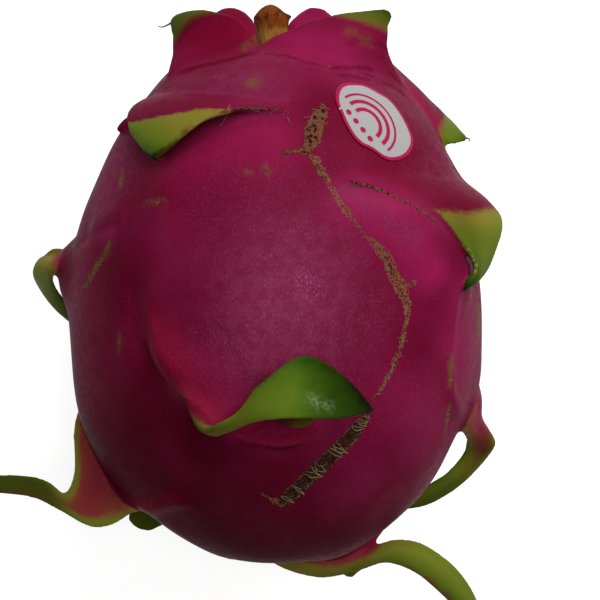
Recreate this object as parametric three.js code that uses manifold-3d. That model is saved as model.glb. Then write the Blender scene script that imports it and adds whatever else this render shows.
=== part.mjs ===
// A whole dragon fruit, as picked, lying on its back on a small flat spot.
// Millimetres. +Y runs along the fruit's core towards the cut stem, +Z is up, and the origin is the middle of
// the flat spot. One solid holds the rind with every leafy scale grown out of it. The cut stem, the dried
// flower at the other end and the paper sticker are solids of their own.
import * as THREE from "three";
import { mergeVertices } from "three/addons/utils/BufferGeometryUtils.js";
import Module from "manifold-3d";

const wasm = await Module();
wasm.setup();

// ---------------------------------------------------------------- driving sizes

const RIND = {
  halfWidth: 49,
  halfDepth: 47, // from the core up to the skin, a little less than across
  waistY: -3, // where the fruit is widest
  stemLength: 66.5, // from the waist to the stem end
  flowerLength: 61.5, // from the waist to the flower end
  fullness: 0.985, // below 1 fills the shoulders out from a plain ellipse
  coreHeight: 45.5, // the core's height over the surface it lies on
  aroundSides: 56,
  alongSides: 40,
};
const STEM_HOLLOW = { depth: 9, radius: 11 };
const FLOWER_NAVEL = { depth: 8, radius: 9 };
const RIBS = { count: 5, height: 0.7, turn: 0.6 }; // soft ridges that run from end to end
const GAP = 0.3; // between touching pieces

const SCALE = {
  acrossSides: 4,
  namedSides: 12, // along a scale that shows from above
  grownSides: 7, // along a scale on the sides and the back
  marginThinness: 0.5, // how much thinner a scale is at its margin than at its midrib
  tipThinness: 0.4, // how much thinner it is at its tip than at its root
};
// The raised cushion of rind that runs down into each scale. Its reaches are shares of the scale's half width
// where it leaves the skin, and it widens by "spread" behind there.
const SWELL = { back: 1.5, front: 0.42, side: 0.95, through: 1.2, spread: 0.33 };

const COLOUR = {
  rind: { color: 0x9c1750, roughness: 0.45, metalness: 0 },
  stem: { color: 0x8a6534, roughness: 0.85, metalness: 0 },
  flower: { color: 0x4a3320, roughness: 0.9, metalness: 0 },
  paper: { color: 0xe8e4e6, roughness: 0.5, metalness: 0 },
};

// ---------------------------------------------------------------- small helpers

const vec = (x, y, z) => new THREE.Vector3(x, y, z);
const radians = THREE.MathUtils.degToRad;
const bell = (distance, reach) => Math.exp(-((distance / reach) ** 2));
const power = (value, exponent) => Math.sign(value) * Math.abs(value) ** exponent;
const mix = (a, b, t) => a + (b - a) * t;
const core = (y) => vec(0, y, RIND.coreHeight);

// A closed three.js geometry as a manifold-3d solid.
function solid(geometry) {
  const bare = geometry.clone();
  bare.deleteAttribute("normal");
  bare.deleteAttribute("uv");
  const merged = mergeVertices(bare, 1e-4);
  return new wasm.Manifold(
    new wasm.Mesh({
      numProp: 3,
      vertProperties: merged.attributes.position.array,
      triVerts: new Uint32Array(merged.index.array),
    }),
  );
}

// A manifold-3d solid as a named three.js mesh.
function mesh(name, made, look) {
  const { numProp, vertProperties, triVerts } = made.getMesh();
  const corners = new Float32Array((vertProperties.length / numProp) * 3);
  for (let i = 0; i < corners.length / 3; i++) {
    corners.set(vertProperties.subarray(i * numProp, i * numProp + 3), i * 3);
  }
  const geometry = new THREE.BufferGeometry()
    .setAttribute("position", new THREE.BufferAttribute(corners, 3))
    .setIndex(new THREE.BufferAttribute(new Uint32Array(triVerts), 1));
  geometry.computeVertexNormals();
  const piece = new THREE.Mesh(geometry, new THREE.MeshStandardMaterial(look));
  piece.name = name;
  return piece;
}

// Moves every corner of a geometry by a rule.
function reshape(geometry, rule) {
  const position = geometry.attributes.position;
  for (let i = 0; i < position.count; i++) {
    const moved = rule(vec().fromBufferAttribute(position, i));
    position.setXYZ(i, moved.x, moved.y, moved.z);
  }
  return geometry;
}

// ---------------------------------------------------------------- the rind's plain egg

const endLength = (y) => (y >= RIND.waistY ? RIND.stemLength : RIND.flowerLength);

// The egg's outward direction at or near a point of its skin.
function outward(point) {
  return vec(
    point.x / RIND.halfWidth ** 2,
    (point.y - RIND.waistY) / endLength(point.y) ** 2,
    (point.z - RIND.coreHeight) / RIND.halfDepth ** 2,
  ).normalize();
}

// The egg's skin in a direction of the unit sphere, whose poles are the two ends.
function eggPoint(direction) {
  const spread = Math.hypot(direction.x, direction.z);
  const widened = spread ** RIND.fullness / (spread || 1);
  const end = direction.y >= 0 ? RIND.stemLength : RIND.flowerLength;
  return vec(
    RIND.halfWidth * direction.x * widened,
    RIND.waistY + end * power(direction.y, RIND.fullness),
    RIND.coreHeight + RIND.halfDepth * direction.z * widened,
  );
}

// The direction of the unit sphere whose egg point lies straight out from the waist through a point.
function sphereDirection(point) {
  const x = point.x / RIND.halfWidth;
  const y = (point.y - RIND.waistY) / endLength(point.y);
  const z = (point.z - RIND.coreHeight) / RIND.halfDepth;
  const roundness = 1 / RIND.fullness;
  const spread = Math.hypot(x, z);
  const drawn = spread ** roundness / (spread || 1);
  return vec(x * drawn, power(y, roundness), z * drawn).normalize();
}

// The egg's skin at an angle round the core, from straight up towards +X, and a distance along it.
function eggAt(around, y) {
  const share = Math.min(1, Math.abs(y - RIND.waistY) / endLength(y));
  const climb = share ** (1 / RIND.fullness);
  const spread = Math.sqrt(1 - climb ** 2);
  const turn = radians(around);
  return eggPoint(vec(Math.sin(turn) * spread, Math.sign(y - RIND.waistY) * climb, Math.cos(turn) * spread));
}

// ---------------------------------------------------------------- the scales that show from above

// A scale is a leafy flap between a left and a right margin, seen from outside with its tip pointing away
// from its root. Both margins start under the skin. "cup" sinks the midrib below the margins, as a share of
// the half width, and "swell" is how far the rind rises towards the root.
const NAMED_SCALES = [
  {
    name: "centre",
    left: [
      [-29, 1, 82], [-25.7, -9.5, 88], [-19.5, -20.5, 92.5], [-14.7, -27, 97], [-8, -22.8, 102],
      [-2, -16.6, 103], [4.3, -11.8, 101.2], [15.5, -15.3, 98], [22, -22.5, 92.5],
    ],
    right: [
      [6, -6, 89], [4.5, -17.5, 90.5], [-2, -26.5, 92], [-9.5, -28.5, 94.5], [-6.5, -26.5, 99],
      [-0.5, -24.5, 101.5], [7, -24.5, 101], [15.5, -24.5, 97], [22.5, -23.5, 91.5],
    ],
    thick: 2.4, cup: 0.12, swell: 3,
  },
  {
    name: "upper_left",
    left: [[-26, 49, 58], [-33, 45.3, 63], [-33.5, 41, 69], [-31, 36.5, 73], [-27, 32.5, 76.5]],
    right: [[6, 50, 70], [3, 45, 79], [-7, 42, 85], [-16, 38, 86], [-25.5, 32, 79]],
    thick: 2.4, cup: 0.15, swell: 1,
  },
  {
    name: "right",
    left: [
      [11.5, 31, 82], [16, 25.5, 87], [31.5, 20, 83.5], [40, 14, 81.5], [46, 7.5, 76], [43, 4, 72],
    ],
    right: [
      [41, 38, 42], [45.5, 29.5, 46], [50, 23.2, 58], [52.3, 18, 62], [49.5, 10, 66.5], [43.5, 3.5, 70],
    ],
    thick: 2.4, cup: 0.1, swell: 1.8,
  },
  {
    name: "left",
    left: [
      [-42, 20, 28], [-48, 15, 32], [-54, 12.2, 36], [-58.5, 11, 38], [-60.3, 8, 37], [-60, 4.5, 33],
      [-57, -0.8, 27], [-53.5, -5, 21], [-48.5, -9, 16],
    ],
    right: [
      [-41, 22, 58], [-46, 15.5, 54], [-51, 12, 50], [-54, 9, 46], [-55, 6.8, 41], [-54.7, 4.2, 36.5],
      [-53.7, 1.5, 31], [-53, -1, 26], [-48, -7, 18],
    ],
    thick: 2.2, cup: 0.1, swell: 0.6,
  },
  {
    name: "lower_right",
    left: [
      [44, -12, 58], [46, -23, 55], [45.5, -31, 50], [47, -33.8, 42], [46.3, -38, 37], [43.2, -42.5, 33],
      [39.5, -45.5, 29], [34.5, -49.5, 25], [30, -52, 22],
    ],
    right: [
      [43, -14, 28], [48.3, -22, 32], [51.2, -29, 38], [54.3, -33.8, 40], [53.3, -37.8, 37.5],
      [48.8, -43.6, 34], [44.3, -48.2, 30], [38.5, -51.8, 26], [31.5, -53.7, 22],
    ],
    thick: 2.2, cup: 0.15, swell: 1,
  },
  {
    name: "lower_left",
    left: [
      [-46, -20, 42], [-48, -33, 42], [-49, -42, 42], [-51.5, -46.5, 43], [-56, -44, 42], [-62, -43, 38],
      [-70, -43.5, 31], [-78, -46, 21], [-83, -50, 13],
    ],
    right: [
      [-24, -50, 44], [-33, -52.6, 45], [-41, -54.6, 46], [-46, -54, 46.5], [-53, -51, 43], [-60, -48.5, 38],
      [-70, -48.5, 30], [-77.5, -50, 20], [-83.5, -51.5, 12],
    ],
    thick: 2.2, cup: -0.15, swell: 1,
  },
  {
    name: "lower_left_curl",
    left: [[-34, -44, 28], [-36.5, -51, 31], [-37, -54.5, 33], [-34.5, -56.8, 34]],
    right: [[-22, -50, 30], [-25.5, -53, 32], [-29, -56, 34], [-32.5, -57.3, 34.5]],
    thick: 2.2, cup: 0.1, swell: 0,
  },
  {
    name: "bottom_right",
    left: [
      [-3, -58, 36], [4, -66, 38], [13, -67.5, 40], [20, -65.5, 42], [27, -64, 41], [34, -67, 37],
      [41, -73, 30], [48, -81.5, 20], [55, -91, 9],
    ],
    right: [
      [24, -50, 44], [25, -55, 45], [25, -58, 45], [25.5, -59, 44], [30, -58.5, 42], [37, -60.5, 37],
      [45, -66.5, 30], [52, -77, 20], [56.5, -90.5, 9],
    ],
    thick: 2.4, cup: 0.12, swell: 1,
  },
  {
    name: "upper_right",
    left: [[24, 54, 62], [33, 48, 57], [38.5, 43, 51], [42.5, 39, 46], [47, 40, 39]],
    right: [[27, 58, 34], [35, 53, 34], [39.5, 48, 34], [43.5, 43.5, 35], [47.5, 40.5, 38]],
    thick: 2, cup: 0.15, swell: 1,
  },
  {
    name: "top_right",
    left: [[32, 46, 60], [30, 54, 58], [27.5, 60, 56], [27, 65, 55], [28, 68.5, 53.5]],
    right: [[-2, 54, 64], [3, 64, 62], [13, 68.5, 60], [21, 70, 57], [27, 70.5, 54]],
    thick: 3.2, cup: 0.15, swell: 0.6,
  },
  {
    name: "top_left",
    left: [[-6, 54, 64], [-10, 64, 62], [-13.5, 69, 60], [-18, 70.5, 57], [-23.5, 69.5, 53]],
    right: [[-28, 46, 58], [-25, 54, 57], [-24, 60, 56], [-24.3, 64.5, 55], [-25, 67.5, 52]],
    thick: 3.2, cup: 0.15, swell: 0.6,
  },
  {
    name: "stem_lobe_left",
    left: [[-3, 54, 60], [-3.5, 61, 60], [-4.5, 66.5, 58], [-8, 70, 54]],
    right: [[-14, 54, 58], [-13, 62, 58], [-12, 67, 56], [-9.5, 70.3, 53]],
    thick: 4, cup: 0.2, swell: 0,
  },
  {
    name: "stem_lobe_right",
    left: [[19, 52, 38], [18.5, 64, 38], [16, 70, 38], [11.5, 73, 38]],
    right: [[3, 52, 38], [4, 64, 38], [6.5, 70, 38], [10, 73, 38]],
    thick: 3.5, cup: -0.2, swell: 0,
  },
];

// ---------------------------------------------------------------- the scales on the sides and the back

// Each is placed by its root's angle round the core, from straight up towards +X, and its distance along the
// core. It heads for the flower end, turned by "lean", and leaves the skin at "lift" to bend on by "curl".
const GROWN_SCALES = [
  { around: 180, y: 50, width: 26, length: 22, lift: 14, curl: 30, lean: 0 },
  { around: -112, y: 54, width: 22, length: 18, lift: 12, curl: 40, lean: -20 },
  { around: -146, y: 36, width: 30, length: 30, lift: 10, curl: 40, lean: -10 },
  { around: 142, y: 28, width: 30, length: 30, lift: 10, curl: 40, lean: 10 },
  { around: 128, y: 2, width: 30, length: 32, lift: 10, curl: 50, lean: 22 },
  { around: -132, y: -2, width: 30, length: 34, lift: 10, curl: 44, lean: -18 },
  { around: 152, y: -22, width: 28, length: 34, lift: 10, curl: 34, lean: 6 },
  { around: -156, y: -30, width: 26, length: 32, lift: 10, curl: 34, lean: 6 },
  { around: 116, y: -42, width: 22, length: 26, lift: 2, curl: 26, lean: 62 },
  { around: 176, y: -46, width: 22, length: 24, lift: 4, curl: 10, lean: 0 },
  { around: -122, y: -46, width: 20, length: 24, lift: 2, curl: 26, lean: -50 },
];
const GROWN = {
  stations: 6,
  thick: 2.2,
  cup: -0.1,
  swell: 2.4,
  rootShare: 0.3, // how far a root starts back under the rind, as a share of the scale's width
  rootDepth: 1.5, // how deep it starts
  tipHalfWidth: 0.5,
  taper: 1.7,
  clearance: 1.6, // of the midrib over the surface that the fruit lies on
};

function grow(scale) {
  const root = eggAt(scale.around, scale.y);
  const up = outward(root);
  const heading = vec(0, -1, 0).addScaledVector(up, up.y).normalize().applyAxisAngle(up, radians(scale.lean));
  const sideways = vec().crossVectors(heading, up);
  const setBack = GROWN.rootShare * scale.width;
  const step = (scale.length + setBack) / (GROWN.stations - 1);
  const middle = root.addScaledVector(heading, -setBack).addScaledVector(up, -GROWN.rootDepth);
  const left = [];
  const right = [];
  for (let i = 0; i < GROWN.stations; i++) {
    const share = i / (GROWN.stations - 1);
    const half = mix(scale.width / 2, GROWN.tipHalfWidth, share ** GROWN.taper);
    const wrap = half ** 2 / (2 * RIND.halfWidth);
    for (const [side, margin] of [[-half, left], [half, right]]) {
      const corner = middle.clone().addScaledVector(sideways, side).addScaledVector(up, -wrap);
      corner.z = Math.max(corner.z, GROWN.clearance);
      margin.push(corner.toArray());
    }
    const pitch = radians(scale.lift * Math.min(1, 2 * share) + scale.curl * share ** 2);
    middle.addScaledVector(heading, step * Math.cos(pitch)).addScaledVector(up, step * Math.sin(pitch));
    middle.z = Math.max(middle.z, GROWN.clearance);
  }
  return { left, right, thick: GROWN.thick, cup: GROWN.cup, swell: GROWN.swell, sides: SCALE.grownSides };
}

// ---------------------------------------------------------------- the finished skin

const smoothLine = (points) => new THREE.CatmullRomCurve3(points.map((p) => vec(...p)), false, "catmullrom");
const scales = [...NAMED_SCALES, ...GROWN_SCALES.map(grow)].map((scale) => {
  const left = smoothLine(scale.left);
  const right = smoothLine(scale.right);
  const middle = (share) => left.getPoint(share).add(right.getPoint(share)).multiplyScalar(0.5);
  const sides = scale.sides ?? SCALE.namedSides;
  return { ...scale, sides, leftLine: left, rightLine: right, middle };
});

// One cushion for each scale, set where the scale leaves the skin.
const cushions = scales
  .filter((scale) => scale.swell > 0)
  .map((scale) => {
    const liftOff = 1 / (scale.left.length - 1);
    const anchor = scale.middle(liftOff);
    const up = outward(anchor);
    const heading = scale.middle(2 * liftOff).sub(scale.middle(0));
    heading.addScaledVector(up, -heading.dot(up)).normalize();
    const halfWidth = scale.leftLine.getPoint(liftOff).distanceTo(scale.rightLine.getPoint(liftOff)) / 2;
    return { anchor, up, heading, side: vec().crossVectors(up, heading), height: scale.swell, halfWidth };
  });

function swellHeight(point) {
  let height = 0;
  for (const cushion of cushions) {
    const away = point.clone().sub(cushion.anchor);
    const ahead = away.dot(cushion.heading);
    const reach = cushion.halfWidth * (ahead > 0 ? SWELL.front : SWELL.back);
    const width = cushion.halfWidth * SWELL.side + Math.max(0, -ahead) * SWELL.spread;
    height +=
      cushion.height *
      bell(ahead, reach) *
      bell(away.dot(cushion.side), width) *
      bell(away.dot(cushion.up), cushion.halfWidth * SWELL.through);
  }
  return height;
}

// The finished skin in a direction of the unit sphere.
function skinPoint(direction) {
  const point = eggPoint(direction);
  const turn = Math.atan2(direction.x, direction.z);
  const ribs = RIBS.height * Math.cos(RIBS.count * turn + RIBS.turn) * (1 - direction.y ** 2);
  point.addScaledVector(outward(point), ribs + swellHeight(point));
  const fromCore = Math.hypot(point.x, point.z - RIND.coreHeight);
  const hollow = direction.y > 0 ? STEM_HOLLOW : FLOWER_NAVEL;
  point.y -= Math.sign(direction.y) * hollow.depth * bell(fromCore, hollow.radius);
  return point;
}

// ---------------------------------------------------------------- the rind and its scales

function rindBody() {
  const ball = new THREE.SphereGeometry(1, RIND.aroundSides, RIND.alongSides);
  return solid(reshape(ball, (corner) => skinPoint(corner.normalize())));
}

// One scale as a closed leaf: a box whose width runs across and whose height runs from root to tip.
function scaleBlade(scale) {
  const block = new THREE.BoxGeometry(2, 1, 2, SCALE.acrossSides, scale.sides, 1);
  const step = 0.01;
  return solid(
    reshape(block, (corner) => {
      const share = 0.5 - corner.y;
      const left = scale.leftLine.getPoint(share);
      const half = scale.rightLine.getPoint(share).sub(left).multiplyScalar(0.5);
      const ahead = scale.middle(Math.min(1, share + step)).sub(scale.middle(Math.max(0, share - step)));
      const inward = vec().crossVectors(ahead, half).normalize();
      const sunk = scale.cup * half.length() * (1 - corner.x ** 2);
      const thinning = (1 - SCALE.marginThinness * corner.x ** 2) * (1 - SCALE.tipThinness * share);
      return left
        .addScaledVector(half, 1 + corner.x)
        .addScaledVector(inward, sunk + (corner.z * scale.thick * thinning) / 2);
    }),
  );
}

// Everything under the surface that the fruit lies on.
function floorBlock() {
  const size = 400;
  const block = new THREE.BoxGeometry(size, size, size);
  block.translate(0, 0, -size / 2);
  return solid(block);
}

function fruitSolid() {
  let whole = rindBody();
  for (const scale of scales) whole = whole.add(scaleBlade(scale));
  return whole.subtract(floorBlock());
}

// ---------------------------------------------------------------- the cut stem

const STEM = {
  radius: 4.4,
  footRadius: 5.6,
  baseY: 50,
  topY: 72.5,
  sides: 16,
  rows: 5,
  lean: vec(-0.04, 0, 0.02),
  knob: 0.05, // how uneven its outline is
  rounding: 0.22, // of the cut end
};

function stemStub(fruit) {
  const length = STEM.topY - STEM.baseY;
  const stub = new THREE.CylinderGeometry(1, 1, 1, STEM.sides, STEM.rows);
  const shaped = reshape(stub, (corner) => {
    const share = corner.y + 0.5;
    const turn = Math.atan2(corner.x, corner.z);
    const straight = mix(STEM.footRadius, STEM.radius, Math.min(1, 2 * share));
    const knobs = 1 + STEM.knob * Math.cos(3 * turn + 4 * share);
    const radius = straight * knobs * (1 - STEM.rounding * share ** 6);
    return core(STEM.baseY + length * share)
      .addScaledVector(STEM.lean, length * share)
      .add(vec(corner.x, 0, corner.z).multiplyScalar(radius));
  });
  return solid(shaped).subtract(fruit.translate([0, GAP, 0])).subtract(fruit);
}

// ---------------------------------------------------------------- the dried flower

const FLOWER = {
  radius: 5.6,
  baseY: -50,
  endY: -63,
  narrowing: 0.3, // from its base to its end
  frill: 0.14,
  frills: 5,
  sides: 20,
  rows: 3,
};

function driedFlower(fruit) {
  const length = FLOWER.baseY - FLOWER.endY;
  const tuft = new THREE.CylinderGeometry(1, 1, 1, FLOWER.sides, FLOWER.rows);
  const shaped = reshape(tuft, (corner) => {
    const share = 0.5 - corner.y;
    const turn = Math.atan2(corner.x, corner.z);
    const frill = 1 + FLOWER.frill * Math.cos(FLOWER.frills * turn);
    const radius = FLOWER.radius * (1 - FLOWER.narrowing * share) * frill;
    return core(FLOWER.baseY - length * share).add(vec(corner.x, 0, corner.z).multiplyScalar(radius));
  });
  return solid(shaped).subtract(fruit.translate([0, -GAP, 0])).subtract(fruit);
}

// ---------------------------------------------------------------- the paper sticker

const STICKER = {
  halfLength: 10.5,
  halfWidth: 8.8,
  thick: 0.6,
  centre: vec(21, 38.5, 73),
  tilt: -50, // of its long way from level, in degrees
  rings: 4,
  sides: 32,
};

function sticker() {
  const up = outward(STICKER.centre);
  const level = vec(1, 0, 0).addScaledVector(up, -up.x).normalize();
  const longWay = level.applyAxisAngle(up, radians(STICKER.tilt));
  const shortWay = vec().crossVectors(longWay, up);
  const profile = [new THREE.Vector2(0, -1)];
  for (let i = 1; i <= STICKER.rings; i++) profile.push(new THREE.Vector2(i / STICKER.rings, -1));
  for (let i = STICKER.rings; i >= 1; i--) profile.push(new THREE.Vector2(i / STICKER.rings, 1));
  profile.push(new THREE.Vector2(0, 1));
  const disc = new THREE.LatheGeometry(profile, STICKER.sides);
  return solid(
    reshape(disc, (corner) => {
      const aim = STICKER.centre
        .clone()
        .addScaledVector(longWay, corner.x * STICKER.halfLength)
        .addScaledVector(shortWay, corner.z * STICKER.halfWidth);
      const skin = skinPoint(sphereDirection(aim));
      return skin.addScaledVector(outward(skin), GAP + (STICKER.thick * (1 + corner.y)) / 2);
    }),
  );
}

// ---------------------------------------------------------------- the fruit

const fruit = fruitSolid();
const group = new THREE.Group();
group.add(
  mesh("fruit", fruit, COLOUR.rind),
  mesh("stem_stub", stemStub(fruit), COLOUR.stem),
  mesh("flower_scar", driedFlower(fruit), COLOUR.flower),
  mesh("sticker", sticker(), COLOUR.paper),
);
export default group;
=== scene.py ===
import math

import bpy
import numpy as np
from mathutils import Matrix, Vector
from mathutils.bvhtree import BVHTree
from mathutils.kdtree import KDTree


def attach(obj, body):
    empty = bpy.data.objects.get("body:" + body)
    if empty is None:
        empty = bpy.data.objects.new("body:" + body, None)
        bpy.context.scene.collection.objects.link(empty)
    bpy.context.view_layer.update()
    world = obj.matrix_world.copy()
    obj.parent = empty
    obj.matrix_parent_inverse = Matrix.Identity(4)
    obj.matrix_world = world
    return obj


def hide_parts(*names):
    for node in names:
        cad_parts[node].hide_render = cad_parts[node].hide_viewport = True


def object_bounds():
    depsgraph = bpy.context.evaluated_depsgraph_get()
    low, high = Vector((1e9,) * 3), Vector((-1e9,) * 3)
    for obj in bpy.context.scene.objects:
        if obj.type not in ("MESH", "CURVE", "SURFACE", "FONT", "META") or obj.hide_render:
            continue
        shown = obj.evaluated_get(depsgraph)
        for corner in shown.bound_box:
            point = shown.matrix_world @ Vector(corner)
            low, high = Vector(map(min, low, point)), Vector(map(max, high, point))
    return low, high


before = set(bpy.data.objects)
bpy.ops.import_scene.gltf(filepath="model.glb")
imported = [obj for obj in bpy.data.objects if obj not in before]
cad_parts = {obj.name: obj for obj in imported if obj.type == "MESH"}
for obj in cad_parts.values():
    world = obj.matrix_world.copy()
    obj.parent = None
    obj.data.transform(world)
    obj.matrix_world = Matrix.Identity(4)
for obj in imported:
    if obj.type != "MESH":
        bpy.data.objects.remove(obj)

CAD_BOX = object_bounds()
MM = 0.001

# ---- driving sizes, in millimetres

HALF_WIDTH = 49.0
HALF_DEPTH = 47.0
WAIST_Y = -3.0
STEM_LENGTH = 66.5
FLOWER_LENGTH = 61.5
FULLNESS = 0.985
CORE_HEIGHT = 45.5
STEM_HOLLOW = {"depth": 9.0, "radius": 11.0}
FLOWER_NAVEL = {"depth": 8.0, "radius": 9.0}
RIBS = {"count": 5, "height": 0.7, "turn": 0.6}
SWELL = {"back": 1.5, "front": 0.42, "side": 0.95, "through": 1.2, "spread": 0.33}
# Broad rises of the whole skin: a place near it, the height and the reach.
BULGES = [
    ((49, 2, 45), 1.2, 16), ((47, -20, 46), 1.7, 11), ((40, 44, 42), 1.8, 8), ((-46, -29, 45), 1.1, 10),
    ((-22, -55, 44), -4.1, 9), ((-50, 6, 47), 3.6, 6.5), ((-45, 29, 45), -0.7, 12),
    ((28, -52, 44), -1.2, 7), ((-8.5, -63, 44), 1.9, 5),
]
LUMPS = {"count": 14, "height": 0.035, "shortest": 15.0, "longest": 50.0, "seed": 11}

BODY_ROWS = 260
BODY_SIDES = 360
POLE_GAP = 0.01  # in radians, between the body's last rings and its poles
HALVINGS = 20  # how often the search for a point of the skin halves its range
BLADE = {"stations": 110, "sides": 56, "margin_thinness": 0.5, "tip_thinness": 0.4, "flat": 0.86,
         "tip_from": 0.965, "tip_to": 1.002}
FILLET = {"thickness": 1.3, "reach": 2.6}  # the extra flesh where a scale leaves the skin
MARGIN_WAVE = {"height": 0.15, "waves": 4.0, "from": 0.2, "full_from": 0.4, "full_width": 4}

VOXEL = 0.4
RIND_TRIANGLES = 180000
SOFTENING = {"share": 0.5, "rounds": 3}
SEAMS = {"share": 0.6, "rounds": 24, "reach": 2.2}
# How far apart the points of a path lie, for the plain skin, fibres, brush strokes and marks.
SKIN_STEP, FIBRE_STEP, STROKE_STEP, MARK_STEP = 0.5, 0.4, 0.8, 0.25

# ---- the scales

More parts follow.
